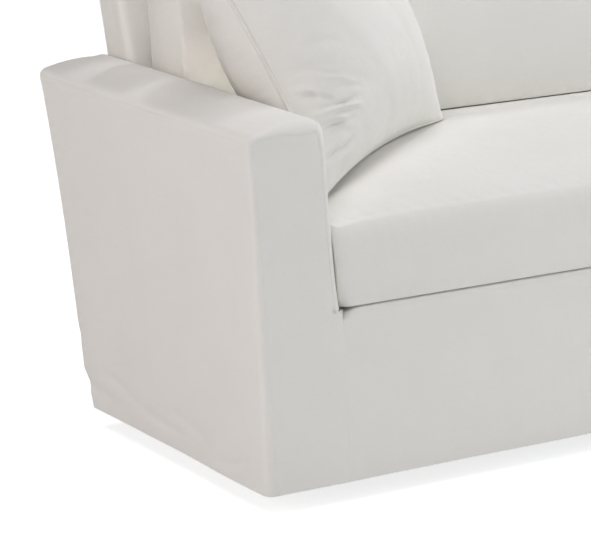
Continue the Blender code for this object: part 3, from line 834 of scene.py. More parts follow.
    def top_rows(self) -> tuple[float, float]:
        """Returns where the top strip starts and ends on the outline."""
        return self.outer_seam + FORM.seam_gap / 2, self.inner_seam - FORM.seam_gap / 2

    def inner_rows(self) -> Array:
        """Places down the inside face for the front facing's edge, closer at its rounded top.

        Returns:
            Distances along the outline.
        """
        start = self.inner_seam + FORM.seam_gap / 2
        turn = np.linspace(start, self.inner_seam + 0.03, 4)
        rest = np.linspace(self.inner_seam + 0.06, self.outline.length - FORM.seam_gap, 6)
        return np.concatenate((turn, rest))

    def facing(self, front: bool) -> Array:
        """Grid of the front or rear facing, filled in between its left, top and right edges.

        Args:
            front: True for the front facing, whose right edge steps out under the seat cushion.

        Returns:
            Grid of points, rows from the hem up.
        """
        hem, stitched = STITCHING.marks(Edge.HEM), STITCHING.marks(Edge.TOPSTITCHED)
        v = spaced(hem, stitched, self.outer_seam, self.pitch) / self.outer_seam
        sewn, width = STITCHING.marks(Edge.SEWN), self.facing_wide
        u = spaced(stitched, sewn, width, self.pitch * 0.6) / width
        crest_roll = self.crest_roll if front else self.rear_crest_roll
        left = self.inset_outline(v * (self.outer_seam - FORM.seam_gap / 2), crest_roll)
        low, high = self.top_rows()
        top = self.inset_outline(low + u * (high - low), crest_roll)
        if front:
            right = self._front_right_edge(v)
            return filled(left, top, right, u, v, FORM.front_y, self.front_swell)
        z = np.interp(v, (0, 1), (FORM.hem_z, FORM.arm_edge_z - self.rear_seam_drop))
        right = np.stack((np.full_like(z, self.rear_seam_x - FORM.seam_gap), z), axis=1)
        return filled(left, top, right, u, v, FORM.rear_y, self.rear_swell)

    def _front_right_edge(self, v: Array) -> Array:
        """Right edge of the front facing.

        It goes up the apron's slanting seam, in to the arm and up the arm's inside. Each stretch
        takes as many rows as it has points, and the two rows nearest the step lie on its corners.

        Args:
            v: share of the way up, from 0 to 1.

        Returns:
            x and z at each v.
        """
        rows = self.inner_rows()[::-1]
        foot = self.inset_outline(rows[:1], self.crest_roll)
        slant_z = np.linspace(FORM.apron_slant_z, FORM.deck_z + 0.001, 7)
        seam_z = np.concatenate(((FORM.hem_z, self.facing_middle_z), slant_z))
        low = np.stack((FORM.apron_edge_x(seam_z) - FORM.seam_gap, seam_z), axis=1)
        k = v * (len(low) + len(rows) - 1)
        for corner in (len(low) - 1, len(low)):
            k[np.argmin(np.abs(k - corner))] = corner
        path = np.concatenate((low, foot))
        lower = np.stack([np.interp(k, np.arange(len(path)), path[:, i]) for i in (0, 1)], axis=1)
        upper = np.interp(k, np.arange(len(rows)) + len(low), rows)
        upper = self.inset_outline(upper, self.crest_roll)
        return np.where((k < len(low))[:, None], lower, upper)

    def panels(self) -> list[tuple[Panel, Point]]:
        """The arm's five panels.

        Returns:
            Pairs of panel and flat width and length.
        """
        hem, stitched, sewn, hidden = Edge.HEM, Edge.TOPSTITCHED, Edge.SEWN, Edge.HIDDEN
        marks = {edge: STITCHING.marks(edge) for edge in Edge}
        end = self.outer_seam - FORM.seam_gap / 2
        outside = spaced(marks[hem], marks[stitched], end, self.pitch)
        low, high = self.top_rows()
        top = low + spaced(marks[stitched], marks[sewn], high - low, self.top_pitch)
        start, stop = self.inner_seam + FORM.seam_gap / 2, self.outline.length - FORM.seam_gap
        inside = start + spaced(marks[sewn], marks[hidden], stop - start, self.inside_pitch)
        name = self.side.value
        return [
            (Panel(f"outer_arm_{name}_cloth", self.long_panel(outside, True), self.middle,
                   hem, stitched, stitched, stitched, OUTER_ARM_FOLDS, OUTER_ARM_WAVES),
             (0.80, 0.61)),
            (Panel(f"arm_top_{name}_cloth", self.long_panel(top, True), self.middle,
                   stitched, sewn, stitched, stitched, ARM_TOP_FOLDS, ARM_TOP_WAVES),
             (0.83, 0.14)),
            (Panel(f"inside_arm_{name}_cloth", self.long_panel(inside, False), self.inside_middle,
                   sewn, hidden, stitched, hidden, waves=INSIDE_ARM_WAVES),
             (0.66, 0.33)),
            (Panel(f"arm_front_{name}_cloth", self.facing(True), self.middle,
                   hem, stitched, stitched, sewn, ARM_FRONT_FOLDS),
             (0.16, 0.62)),
            (Panel(f"arm_rear_{name}_cloth", self.facing(False), self.middle,
                   hem, stitched, stitched, sewn, ARM_REAR_FOLDS),
             (0.13, 0.62)),
        ]


def filled(
    left: Array, top: Array, right: Array, u: Array, v: Array, y_at: Callable[[Array], Array],
    bulge: float,
) -> Array:
    """Surface between a panel's left, top and right edges and its level hem.

    In x and z it is the sum of the blend from left to right and the blend from hem to top, less the
    blend of the four corners. In y it follows the form's face, swelling in its middle.

    Args:
        left: x and z up the left edge, one for each v.
        top: x and z along the top edge, one for each u.
        right: x and z up the right edge, one for each v.
        u: shares across, from 0 to 1.
        v: shares up, from 0 to 1.
        y_at: gives the face's depth at a height.
        bulge: depth added in the middle.

    Returns:
        Grid of points, rows from the hem up.
    """
    across, up = u[None, :, None], v[:, None, None]
    hem = left[0] + u[:, None] * (right[0] - left[0])
    top = top.copy()
    top[0], top[-1] = left[-1], right[-1]
    corners = (1 - up) * hem[None] + up * ((1 - across) * left[-1] + across * right[-1])
    flat = (1 - across) * left[:, None] + across * right[:, None]
    flat = flat + (1 - up) * hem[None] + up * top[None] - corners
    swell = np.sin(np.pi * u)[None, :] * (ease(2 * v) * ease(2 * (1 - v)))[:, None]
    y = y_at(flat[..., 1]) + bulge * swell
    return np.stack((flat[..., 0], y, flat[..., 1]), axis=2)


# --- seat base and back ---------------------------------------------------------------------------


APRON_FOLDS = (
    Fold((0.10, 0.10), (0.16, 0.24), 0.030, -0.0016, 0.01),
    Fold((0.42, 0.06), (0.50, 0.22), 0.050, 0.0016, 0.01),
    Fold((0.95, 0.05), (0.90, 0.24), 0.055, -0.0018, 0.01),
    Fold((1.40, 0.06), (1.48, 0.22), 0.050, 0.0016, -0.01),
)
APRON_WAVES = (
    Wave(0.0014, 1.3, 0.3, 0.4),
    Wave(0.0010, 3.1, -0.4, 1.0),
    Wave(0.0006, 6.3, 0.5, 2.0),
)
REAR_FOLDS = (
    Fold((0.25, 0.12), (0.30, 0.60), 0.050, -0.0020, 0.02),
    Fold((0.80, 0.10), (0.74, 0.66), 0.060, 0.0018, -0.02),
    Fold((1.30, 0.10), (1.36, 0.62), 0.055, -0.0020, 0.02),
    Fold((1.66, 0.14), (1.62, 0.58), 0.050, 0.0016, 0.01),
)
REAR_WAVES = (Wave(0.0014, 2.2, 0.4, 0.3), Wave(0.0009, 4.1, -0.6, 2.0))


@dataclass
class SeatBase:
    """The apron under the seat cushion and the deck behind it."""

    wrap: float = 0.030
    roll: float = 0.012
    pitch: float = 0.009
    corner_drop: float = 0.013
    corner_wide: float = 0.018
    corner_low_z: float = 0.28
    corner_tall: float = 0.05
    deck_inset: float = 0.001
    middle: Place = (FORM.width / 2, 0.3, 0.1)

    def apron(self) -> Array:
        """Grid of the apron: up its face, through a quarter circle and a little way onto the deck.

        Low waves move its face and fade out near its ends and its top. The ends lean with the
        slanting seams, and the top corners drop by a bell across times a smooth step up.

        Returns:
            Grid of points, rows from the hem up.
        """
        sewn, hem, plain = (STITCHING.marks(edge) for edge in (Edge.SEWN, Edge.HEM, Edge.HIDDEN))
        x = FORM.apron_x + spaced(sewn, sewn, FORM.width - 2 * FORM.apron_x, self.pitch)
        low = FORM.deck_z - self.roll - FORM.hem_z
        rise = FORM.hem_z + spaced(hem, plain, low, self.pitch)
        turn = np.linspace(0, np.pi / 2, 7)[1:]
        front = float(FORM.front_y(np.array(FORM.deck_z)))
        z = np.concatenate((rise, FORM.deck_z - self.roll * (1 - np.sin(turn)), (FORM.deck_z,)))
        turned = front + self.roll * (1 - np.cos(turn))
        y = np.concatenate((FORM.front_y(rise), turned, (self.wrap,)))
        a, b = (x - x[0]) / (x[-1] - x[0]), (z - FORM.hem_z) / (FORM.deck_z - FORM.hem_z)
        a, b = np.meshgrid(a, b)
        fade = ease(a / 0.05) * ease((1 - a) / 0.05) * ease((1 - b) / 0.3)
        depth = y[:, None] + fade * sum(wave.relief(a, b) for wave in APRON_WAVES)
        middle = FORM.width / 2
        wider = (middle - FORM.apron_edge_x(z)) / (middle - FORM.apron_x)
        across = middle + (x[None, :] - middle) * wider[:, None]
        near = np.minimum(x - x[0], x[-1] - x)[None, :]
        high = ease((z[:, None] - self.corner_low_z) / self.corner_tall)
        drop = self.corner_drop * bell(near / self.corner_wide) * high
        return np.stack((across, depth, z[:, None] - drop), axis=2)

    def deck(self) -> Array:
        """Grid of the flat deck, between the arms from the apron to the inside back.

        Returns:
            Grid of points, rows from the apron towards the back.
        """
        edge = FORM.arm_inner_deck_x + self.deck_inset
        x = np.linspace(edge, FORM.width - edge, 60)
        rear = float(FORM.inside_back_y(np.array(FORM.deck_z))) - FORM.clear
        y = np.linspace(self.wrap + FORM.seam_gap, rear, 20)
        return np.stack(np.broadcast_arrays(x[None, :], y[:, None], FORM.deck_z), axis=2)

    def panels(self) -> list[tuple[Panel, Point]]:
        """The apron and the deck.

        Returns:
            Pairs of panel and flat width and length.
        """
        return [
            (Panel("front_apron_cloth", self.apron(), self.middle,
                   Edge.HEM, Edge.HIDDEN, Edge.SEWN, Edge.SEWN, APRON_FOLDS),
             (1.83, 0.33)),
            (Panel("seat_deck_cloth", self.deck(), self.middle), (1.85, 0.57)),
        ]


@dataclass
class Back:
    """The sofa's back: its front panel, the boxing strip round it and the rear panel."""

    # The arch up one side of the back, over its top and down the other side.
    side_x: float = 0.1055
    corner: float = 0.045
    low_z: float = 0.650
    # How the front panel turns round the back's front edge above the arms.
    roll: float = 0.016
    wrap: float = 0.022
    wrap_marks: Point = (0.0, 0.006)
    wrap_pitch: float = 0.004
    wrap_low_z: float = 0.622
    wrap_tall: float = 0.018
    # The front panel's edge behind the arms, its turned-in margin and its foot on the deck.
    low_edge_top_z: float = 0.638
    low_edge_inset: float = 0.005
    margin: Point = (0.004, 0.0005)
    foot_x: float = 0.6
    foot_rise: float = 0.003
    # The boxing strip and the rear panel.
    rear_seam_x: float = 0.1210
    tail_long: float = 0.020
    tail_deep: float = 0.006
    rear_swell: float = 0.002
    pitch: float = 0.010

    def __post_init__(self) -> None:
        """Works out the arch up one side, over the top and down the other side."""
        z = np.linspace(self.low_z, FORM.back_top_z - self.corner, 80)
        angle = np.linspace(0, np.pi / 2, 40)[1:-1]
        x = np.linspace(self.side_x + self.corner, FORM.width / 2, 120)
        side = np.stack((np.full_like(z, self.side_x), z), axis=1)
        turn_x = self.side_x + self.corner * (1 - np.cos(angle))
        turn_z = FORM.back_top_z - self.corner * (1 - np.sin(angle))
        turn = np.stack((turn_x, turn_z), axis=1)
        half = np.concatenate((side, turn, np.stack((x, np.full_like(x, FORM.back_top_z)), axis=1)))
        self.arch = Outline(np.concatenate((half, reflected(half[-2::-1]))))
        self.mid_corner = FORM.back_top_z - self.corner - self.low_z + self.corner * np.pi / 4

    def arch_places(self) -> Array:
        """Places along the arch, close together round its corners.

        Returns:
            Rising distances along the arch.
        """
        side = FORM.back_top_z - self.corner - self.low_z
        turned = side + self.corner * np.pi / 2
        half = np.concatenate((np.linspace(0, side, 16)[:-1], np.linspace(side, turned, 10)[:-1]))
        middle = np.linspace(turned, self.arch.length - turned, 150)
        return np.concatenate((half, middle, (self.arch.length - half)[::-1]))

    def inside(self) -> Array:
        """Grid of the front panel.

        Each of its lines starts at the panel's edge, where it turns through a quarter circle round
        the back's front edge above the arms, and runs straight to a foot on the deck.

        Returns:
            Grid of points, a row for each line.
        """
        low_z = np.linspace(FORM.deck_z + self.foot_rise, self.low_edge_top_z, 34)
        low = np.stack((FORM.inner_x(low_z) + self.low_edge_inset, low_z), axis=1)
        s = self.arch_places()
        edge = np.concatenate((low, self.arch.inset(s, self.roll), reflected(low[::-1])))
        side = np.tile((-1.0, 0.0), (len(low), 1))
        outward = np.concatenate((side, self.arch.normal(s), -side))
        held = ease((edge[:, 1:] - self.wrap_low_z) / self.wrap_tall)
        quarter = self.roll * np.pi / 2
        around, sewn = quarter + self.wrap, STITCHING.marks(Edge.SEWN)
        full = around - spaced(sewn, np.array(self.wrap_marks), around, self.wrap_pitch)
        length = held * full + (1 - held) * np.linspace(*self.margin, len(full))
        angle = np.minimum(length / self.roll, np.pi / 2)
        reach = self.roll * np.sin(angle)
        depth = self.roll * (1 - np.cos(angle)) + np.maximum(length - quarter, 0)
        wrapped = edge[:, None] + outward[:, None] * reach[..., None]
        t = np.linspace(0, 1, len(edge))[:, None]
        foot_x = self.foot_x + t * (FORM.width - 2 * self.foot_x)
        foot = np.concatenate((foot_x, np.full_like(t, FORM.deck_z + self.foot_rise)), axis=1)
        inward = np.linspace(0, 1, 26)[1:]
        flat = edge[:, None] + inward[None, :, None] * (foot - edge)[:, None]
        face = np.concatenate((wrapped, flat), axis=1)
        x, z = face[..., 0], face[..., 1]
        depth = np.concatenate((depth, np.zeros((len(edge), len(inward)))), axis=1)
        return np.stack((x, FORM.inside_back_y(z) + depth, z), axis=2)

    def band(self) -> Array:
        """Grid of the boxing strip: back from the front panel's seam and round the rear edge.

        Each end has a tail, which goes down inside the arm and closes the corner behind the arm's
        top.

        Returns:
            Grid of points, a row for each place along the arch.
        """
        s = self.arch_places()
        high, outward = self.arch.at(s), self.arch.normal(s)
        down = np.array((0.0, self.tail_long))
        high = np.concatenate((high[:1] - down, high, high[-1:] - down))
        outward = np.concatenate((outward[:1], outward, outward[-1:]))
        z = high[:, 1:2]
        front = FORM.inside_back_y(z) + self.roll + self.wrap + FORM.seam_gap
        roll = self.rear_seam_x - self.side_x - FORM.seam_gap
        quarter = roll * np.pi / 2
        length = FORM.rear_y(z) - roll - front + quarter
        near = STITCHING.marks(Edge.TOPSTITCHED)
        d = between(near, np.concatenate((near, (0.014, 0.019))), length, 9)
        rest = length - d
        angle = np.minimum(rest / roll, np.pi / 2)
        inset = roll * (1 - np.sin(angle))
        y = FORM.rear_y(z) - roll * (1 - np.cos(angle)) - np.maximum(rest - quarter, 0)
        y[[0, -1]] -= self.tail_deep * (d[[0, -1]] / length[[0, -1]])
        flat = high[:, None] - outward[:, None] * inset[..., None]
        return np.stack((flat[..., 0], y, flat[..., 1]), axis=2)

    def outside(self) -> Array:
        """Grid of the rear panel, filled in between its two sides and its top.

        Returns:
            Grid of points, rows from the hem up.
        """
        hem, stitched = STITCHING.marks(Edge.HEM), STITCHING.marks(Edge.TOPSTITCHED)
        height = FORM.back_top_z - FORM.hem_z
        v = spaced(hem, stitched, height, self.pitch) / height
        width = FORM.width - 2 * self.rear_seam_x
        u = spaced(stitched, stitched, width, self.pitch) / width
        inset = self.rear_seam_x - self.side_x
        straight = self.low_z - FORM.hem_z
        place = v * (straight + self.mid_corner)
        low_z = FORM.hem_z + place
        lower = np.stack((np.full_like(low_z, self.rear_seam_x), low_z), axis=1)
        place = place - straight
        upper = self.arch.inset(np.maximum(place, 0), inset)
        left = np.where((place > 0)[:, None], upper, lower)
        over = self.mid_corner + u * (self.arch.length - 2 * self.mid_corner)
        top = self.arch.inset(over, inset)
        return filled(left, top, reflected(left), u, v, FORM.rear_y, self.rear_swell)

    def panels(self) -> list[tuple[Panel, Point]]:
        """The front panel, the boxing strip and the rear panel.

        Returns:
            Pairs of panel and flat width and length.
        """
        hem, stitched, sewn, hidden = Edge.HEM, Edge.TOPSTITCHED, Edge.SEWN, Edge.HIDDEN
        middle = FORM.width / 2
        return [
            (Panel("inside_back_cloth", self.inside(), (middle, 2.0, 0.5), hidden, hidden, sewn),
             (1.97, 0.57)),
            (Panel("back_band_cloth", self.band(), (middle, 0.70, 0.2),
                   hidden, hidden, sewn, stitched),
             (2.30, 0.075)),
            (Panel("outside_back_cloth", self.outside(), (middle, -2.0, 0.5),
                   hem, stitched, stitched, stitched, REAR_FOLDS, REAR_WAVES),
             (1.92, 0.83)),
        ]


# --- cushions -------------------------------------------------------------------------------------


def rounded(a: Array, b: Array, half_a: float, half_b: float, corner: float) -> tuple[Array, Array]:
    """Moves a rectangle's grid so that its corners become quarter circles.

    Args:
        a: distance from the middle, across.
        b: distance from the middle, up.
        half_a: half the rectangle's width.
        half_b: half its height.
        corner: radius of its corners.

    Returns:
        The moved a and b.
    """
    over_a, over_b = np.abs(a) - (half_a - corner), np.abs(b) - (half_b - corner)
    straight = (over_a <= 0) | (over_b <= 0)
    length = np.where(straight, 1.0, np.hypot(over_a, over_b))
    scale = np.where(straight, 1.0, np.maximum(over_a, over_b) / length)
    new_a = np.sign(a) * (half_a - corner + over_a * scale)
    new_b = np.sign(b) * (half_b - corner + over_b * scale)
    return np.where(straight, a, new_a), np.where(straight, b, new_b)


def rim_points(points: Array) -> Array:
    """Returns the points round a grid's edge, the first one again at the end."""
    around = rim_of(*points.shape[:2])
    return points.reshape(-1, 3)[np.append(around, around[0])]


@dataclass
class BoxCushion:
    """A filled cushion with a front and a rear panel and a boxing strip between them."""

    name: str
    node: str
    corner: float
    pitch: float
    bulge: float
    seed: int
    gather: float = 0.0012
    panel_marks: Place = (0.014, 0.018, 0.024)
    strip_step: float = 0.008
    # Distances between the puckers in a panel, across them and in the strip.
    pucker: float = 0.034
    cross_pucker: float = 0.023
    strip_pucker: float = 0.031

    def swell(self, t: Array) -> Array:
        """Returns the boxing's swell, a half sine between its two seams."""
        return self.bulge * np.sin(np.pi * t)

    def centre_grid(self, half_a: float, half_b: float) -> tuple[Array, Array, Array]:
        """Rectangle's grid with lines for the seams, its corners made round.

        Args:
            half_a: half the width.
            half_b: half the height.

        Returns:
            a and b from the middle, and the distance from the nearest edge.
        """
        marks = np.concatenate((STITCHING.marks(Edge.TOPSTITCHED), self.panel_marks))
        a = spaced(marks, marks, 2 * half_a, self.pitch) - half_a
        b = spaced(marks, marks, 2 * half_b, self.pitch) - half_b
        a, b = np.meshgrid(a, b)
        edge = np.minimum(half_a - np.abs(a), half_b - np.abs(b))
        return (*rounded(a, b, half_a, half_b, self.corner), edge)

    def sewn(self, points: Array, edge: Array, outward: Array) -> Array:
        """Gives a panel its seam, its stitched flap and the small puckers that run in from them.

        The puckers are two uneven waves under a bell that is highest a little way in from the seam.

        Args:
            points: the panel's grid.
            edge: distance from the nearest edge.
            outward: direction out of the cushion.

        Returns:
            The moved grid.
        """
        normals = grid_normals(points)
        normals = np.where(np.sum(normals * outward, axis=2, keepdims=True) > 0, normals, -normals)
        s, t = distance_along(points, 1), distance_along(points, 0)
        pucker = ragged(s + 0.7 * t, self.pucker, self.seed)
        pucker = pucker + 0.6 * ragged(t - 0.4 * s, self.cross_pucker, self.seed + 3)
        relief = STITCHING.height(Edge.TOPSTITCHED, edge)
        held = bell((edge - 0.012) / 0.022)
        relief = relief + self.gather * pucker * held * ease(edge / 0.004)
        return points + normals * relief[..., None]

    def strip(self, front: Array, rear: Array) -> tuple[Array, Array]:
        """Boxing strip from the front panel's edge to the rear panel's, swollen between them.

        It is the straight line from edge to edge, moved outward by the swell, the seams' dips and
        the puckers beside the front seam.

        Args:
            front: the front panel's grid.
            rear: the rear panel's grid.

        Returns:
            The strip's grid and its positions on the cloth.
        """
        one, two = rim_points(front), rim_points(rear)
        across = two - one
        width = float(np.linalg.norm(across, axis=1).mean())
        marks = STITCHING.marks(Edge.SEWN)
        t = spaced(marks, marks, width, self.strip_step) / width
        tangent = np.gradient(one, axis=0)
        tangent[0] = tangent[-1] = one[1] - one[-2]
        outward = unit(np.cross(unit(tangent), unit(across)))
        if np.sum(outward * (one - one.mean(axis=0))) < 0:
            outward = -outward
        s = np.concatenate(((0.0,), np.cumsum(np.linalg.norm(np.diff(one, axis=0), axis=1))))
        edge = np.minimum(t, 1 - t) * width
        held = bell((edge - 0.010) / 0.016)[:, None]
        pucker = ragged(s, self.strip_pucker, self.seed + 5)[None, :] * held
        swell = self.swell(t) + STITCHING.height(Edge.SEWN, edge)
        height = swell[:, None] + self.gather * 0.7 * pucker * ease(edge / 0.004)[:, None]
        height[0] = height[-1] = 0.0
        grid = one[None] + t[:, None, None] * across[None] + outward[None] * height[..., None]
        cloth = np.stack(np.broadcast_arrays(s[None, :], (t * width)[:, None]), axis=2)
        return grid, cloth


def cloth_places(points: Array) -> Array:
    """Returns positions on the cloth from running lengths across and up a grid."""
    return np.stack((distance_along(points, 1), distance_along(points, 0)), axis=2)


@dataclass
class SeatCushion(BoxCushion):
    """The long box cushion between the arms."""

    shoulder: float = 0.12
    pull: float = 0.00055
    pull_pitch: float = 0.019
    pull_deep: float = 0.055
    pull_wide: float = 0.045

    def swell(self, t: Array) -> Array:
        """Returns the boxing's swell: 1 less e^(-t/shoulder), times a cosine of t^3."""
        return self.bulge * (1 - np.exp(-t / self.shoulder)) * np.cos(np.pi / 2 * t**3)

    def pull_lines(self, x: Array, y: Array) -> Array:
        """Fine lines along the top's front edge, where the cloth is pulled over the filling.

        They are an uneven wave in y whose crests drift slowly in x, under a bell behind the edge.

        Args:
            x: place along the sofa.
            y: depth from the front.

        Returns:
            Height of the lines.
        """
        drift = 0.010 * np.sin(5.1 * x) + 0.004 * np.sin(17.0 * x)
        held = bell((y - FORM.seat_front_y - self.pull_deep) / self.pull_wide)
        return self.pull * ragged(y + drift, self.pull_pitch, 6) * held

    def _clear_of_arms(self, x: Array, z: Array) -> Array:
        """Returns x held between the two inside arms at height z."""
        wall = FORM.inner_x(z) + FORM.clear
        return np.clip(x, wall, FORM.width - wall)

    def build(self) -> bpy.types.Object:
        """Makes the cushion: crowned top, flat underside and swollen boxing, clear of the arms.

        Returns:
            The new object.
        """
        half_a, half_b = FORM.width / 2, (FORM.seat_rear_y - FORM.seat_front_y) / 2
        a, b, edge = self.centre_grid(half_a, half_b)
        faces = []
        for top in (True, False):
            z_side = FORM.seat_edge_z if top else FORM.seat_bottom_z
            left = float(FORM.inner_x(np.array(z_side))) + FORM.clear
            x = FORM.width / 2 + a * (FORM.width / 2 - left) / half_a
            y = (FORM.seat_rear_y + FORM.seat_front_y) / 2 + b
            z = FORM.seat_top_z(x, y) if top else np.full_like(x, FORM.seat_bottom_z)
            grid = np.stack((self._clear_of_arms(x, z), y, z), axis=2)
            if top:
                grid[..., 2] += self.pull_lines(x, y)
                grid = self.sewn(grid, edge, np.array((0.0, 0.0, 1.0)))
            faces.append(grid)
        strip, cloth = self.strip(*faces)
        strip[..., 0] = self._clear_of_arms(strip[..., 0], strip[..., 2])
        top, under = ((face, cloth_places(face)) for face in faces)
        return joined(self.name, [top, under, (strip, cloth)])


@dataclass
class BackCushion(BoxCushion):
    """One of the upright cushions on the seat cushion, leaning on the back."""

    side: Side = Side.LEFT
    top_z: float = 0.895
    low_z: float = 0.529
    side_z: float = 0.60
    thick: float = 0.115
    front_crown: float = 0.034
    rear_crown: float = 0.040
    drawn_side: float = 0.02
    drawn_end: float = 0.03
    middle_y: float = 0.556
    rake: float = 0.10
    touch: float = 0.0012
    # How its face leans away above its top and beside its end, for what lies against it.
    over: float = 0.03
    over_lean: float = 1.5
    beside_x: float = 0.10
    beside_lean: float = 2.0

    def plane_y(self, z: Array) -> Array:
        """Returns the cushion's middle plane, raked a little."""
        return self.middle_y + self.rake * (z - FORM.seat_edge_z - FORM.seat_crown)

    def crown(self, a: Array, b: Array) -> Array:
        """Returns a face's fullness for a and b from -1 to 1: (1 - a^2)^0.45 (1 - b^2)^0.55."""
        return np.clip(1 - a * a, 0, 1) ** 0.45 * np.clip(1 - b * b, 0, 1) ** 0.55

    def fitted(self, points: Array) -> Array:
        """Keeps points off the seat cushion, the arm, the back and the next cushion.

        Args:
            points: points in the floor frame.

        Returns:
            The points, moved in y, then in z and then in x where they were too near.
        """
        x, y, z = points[..., 0], points[..., 1], points[..., 2]
        y = np.minimum(y, FORM.inside_back_y(z) - FORM.clear)
        seat = FORM.seat_top_z(x, np.clip(y, FORM.seat_front_y, FORM.seat_rear_y))
        z = np.maximum(z, seat + FORM.clear)
        x = np.clip(x, FORM.inner_x(z) + self.touch, FORM.width / 2 - FORM.clear)
        return np.stack((x, y, z), axis=-1)

    def front_y(self, x: Array, z: Array) -> Array:
        """Front face as something that lies against it meets it, leaning away above and beside it.

        Args:
            x: place along the sofa.
            z: height.

        Returns:
            Depth of the face.
        """
        half_a = (FORM.width / 2 - float(FORM.inner_x(np.array(self.side_z)))) / 2
        half_b = (self.top_z - self.low_z) / 2
        a, b = (x - FORM.width / 2 + half_a) / half_a, (z - self.top_z + half_b) / half_b
        front = self.plane_y(z) - self.thick / 2 - self.front_crown * self.crown(a, b)
        above = self.over_lean * np.maximum(z - self.top_z - self.over, 0)
        return front + above + self.beside_lean * np.maximum(self.beside_x - x, 0)

    def build(self) -> bpy.types.Object:
        """Makes the cushion: two crowned faces, drawn in at their edges, and a boxing strip.

        Returns:
            The new object.
        """
        left = float(FORM.inner_x(np.array(self.side_z))) + self.touch
        right = FORM.width / 2 - FORM.clear
        half_a, half_b = (right - left) / 2, (self.top_z - self.low_z) / 2
        a, b, edge = self.centre_grid(half_a, half_b)
        u, v = a / half_a, b / half_b
        x = (left + right) / 2 + a * (1 - self.drawn_side * (1 - v**2) * np.abs(u) ** 3)
        z = (self.low_z + self.top_z) / 2 + b * (1 - self.drawn_end * (1 - u**2) * np.abs(v) ** 3)
        faces = []
        for crown, way in ((self.front_crown, -1.0), (self.rear_crown, 1.0)):
            y = self.plane_y(z) + way * (self.thick / 2 + crown * self.crown(u, v))
            grid = self.sewn(np.stack((x, y, z), axis=2), edge, np.array((0.0, way, 0.0)))
            faces.append(self.fitted(grid))
        strip, cloth = self.strip(*faces)
        grids = [(face, cloth_places(face)) for face in faces] + [(self.fitted(strip), cloth)]
        if self.side is Side.RIGHT:
            grids = [(mirrored(points), places) for points, places in grids]
        return joined(self.name, grids)


# In metres from the front's lower left corner, strongest first and then the finer ones between.
PILLOW_CREASES = (
    Fold((0.029, 0.182), (0.052, 0.143), 0.0038, 0.0084, 0.002),
    Fold((0.035, 0.162), (0.070, 0.126), 0.0043, -0.0076, 0.002),
    Fold((0.034, 0.132), (0.098, 0.112), 0.0041, -0.0060, 0.003),
    Fold((0.030, 0.123), (0.118, 0.102), 0.0038, 0.0074, 0.003),
    Fold((0.031, 0.112), (0.082, 0.092), 0.0036, 0.0061, 0.002),
    Fold((0.030, 0.101), (0.070, 0.090), 0.0038, -0.0064, 0.001),
    Fold((0.034, 0.088), (0.074, 0.080), 0.0040, -0.0058, 0.002),
    Fold((0.026, 0.060), (0.074, 0.068), 0.0041, 0.0067, 0.002),
    Fold((0.012, 0.040), (0.046, 0.060), 0.0038, -0.0058, 0.001),
    Fold((0.010, 0.020), (0.056, 0.053), 0.0040, 0.0061, 0.001),
    Fold((0.020, 0.014), (0.070, 0.036), 0.0040, -0.0036, 0.001),
    Fold((0.050, 0.196), (0.092, 0.158), 0.0034, -0.0030, 0.002),
    Fold((0.058, 0.176), (0.112, 0.142), 0.0032, 0.0032, 0.003),
    Fold((0.070, 0.150), (0.128, 0.128), 0.0034, -0.0030, 0.002),
    Fold((0.060, 0.118), (0.120, 0.118), 0.0030, -0.0028, 0.003),
    Fold((0.056, 0.104), (0.104, 0.092), 0.0030, 0.0030, 0.002),
    Fold((0.050, 0.082), (0.100, 0.078), 0.0032, 0.0028, 0.002),
    Fold((0.040, 0.052), (0.092, 0.062), 0.0032, -0.0030, 0.001),
    Fold((0.034, 0.034), (0.084, 0.050), 0.0032, 0.0028, 0.001),
    Fold((0.048, 0.236), (0.120, 0.212), 0.0080, -0.0016, 0.004),
    Fold((0.042, 0.216), (0.112, 0.199), 0.0080, 0.0010, 0.003),
    Fold((0.032, 0.208), (0.092, 0.181), 0.0070, -0.0018, 0.002),
    Fold((0.075, 0.164), (0.165, 0.120), 0.0110, -0.0020, 0.004),
    Fold((0.190, 0.150), (0.330, 0.200), 0.0200, -0.0016, -0.015),
    Fold((0.240, 0.320), (0.400, 0.290), 0.0180, -0.0020, 0.020),
)


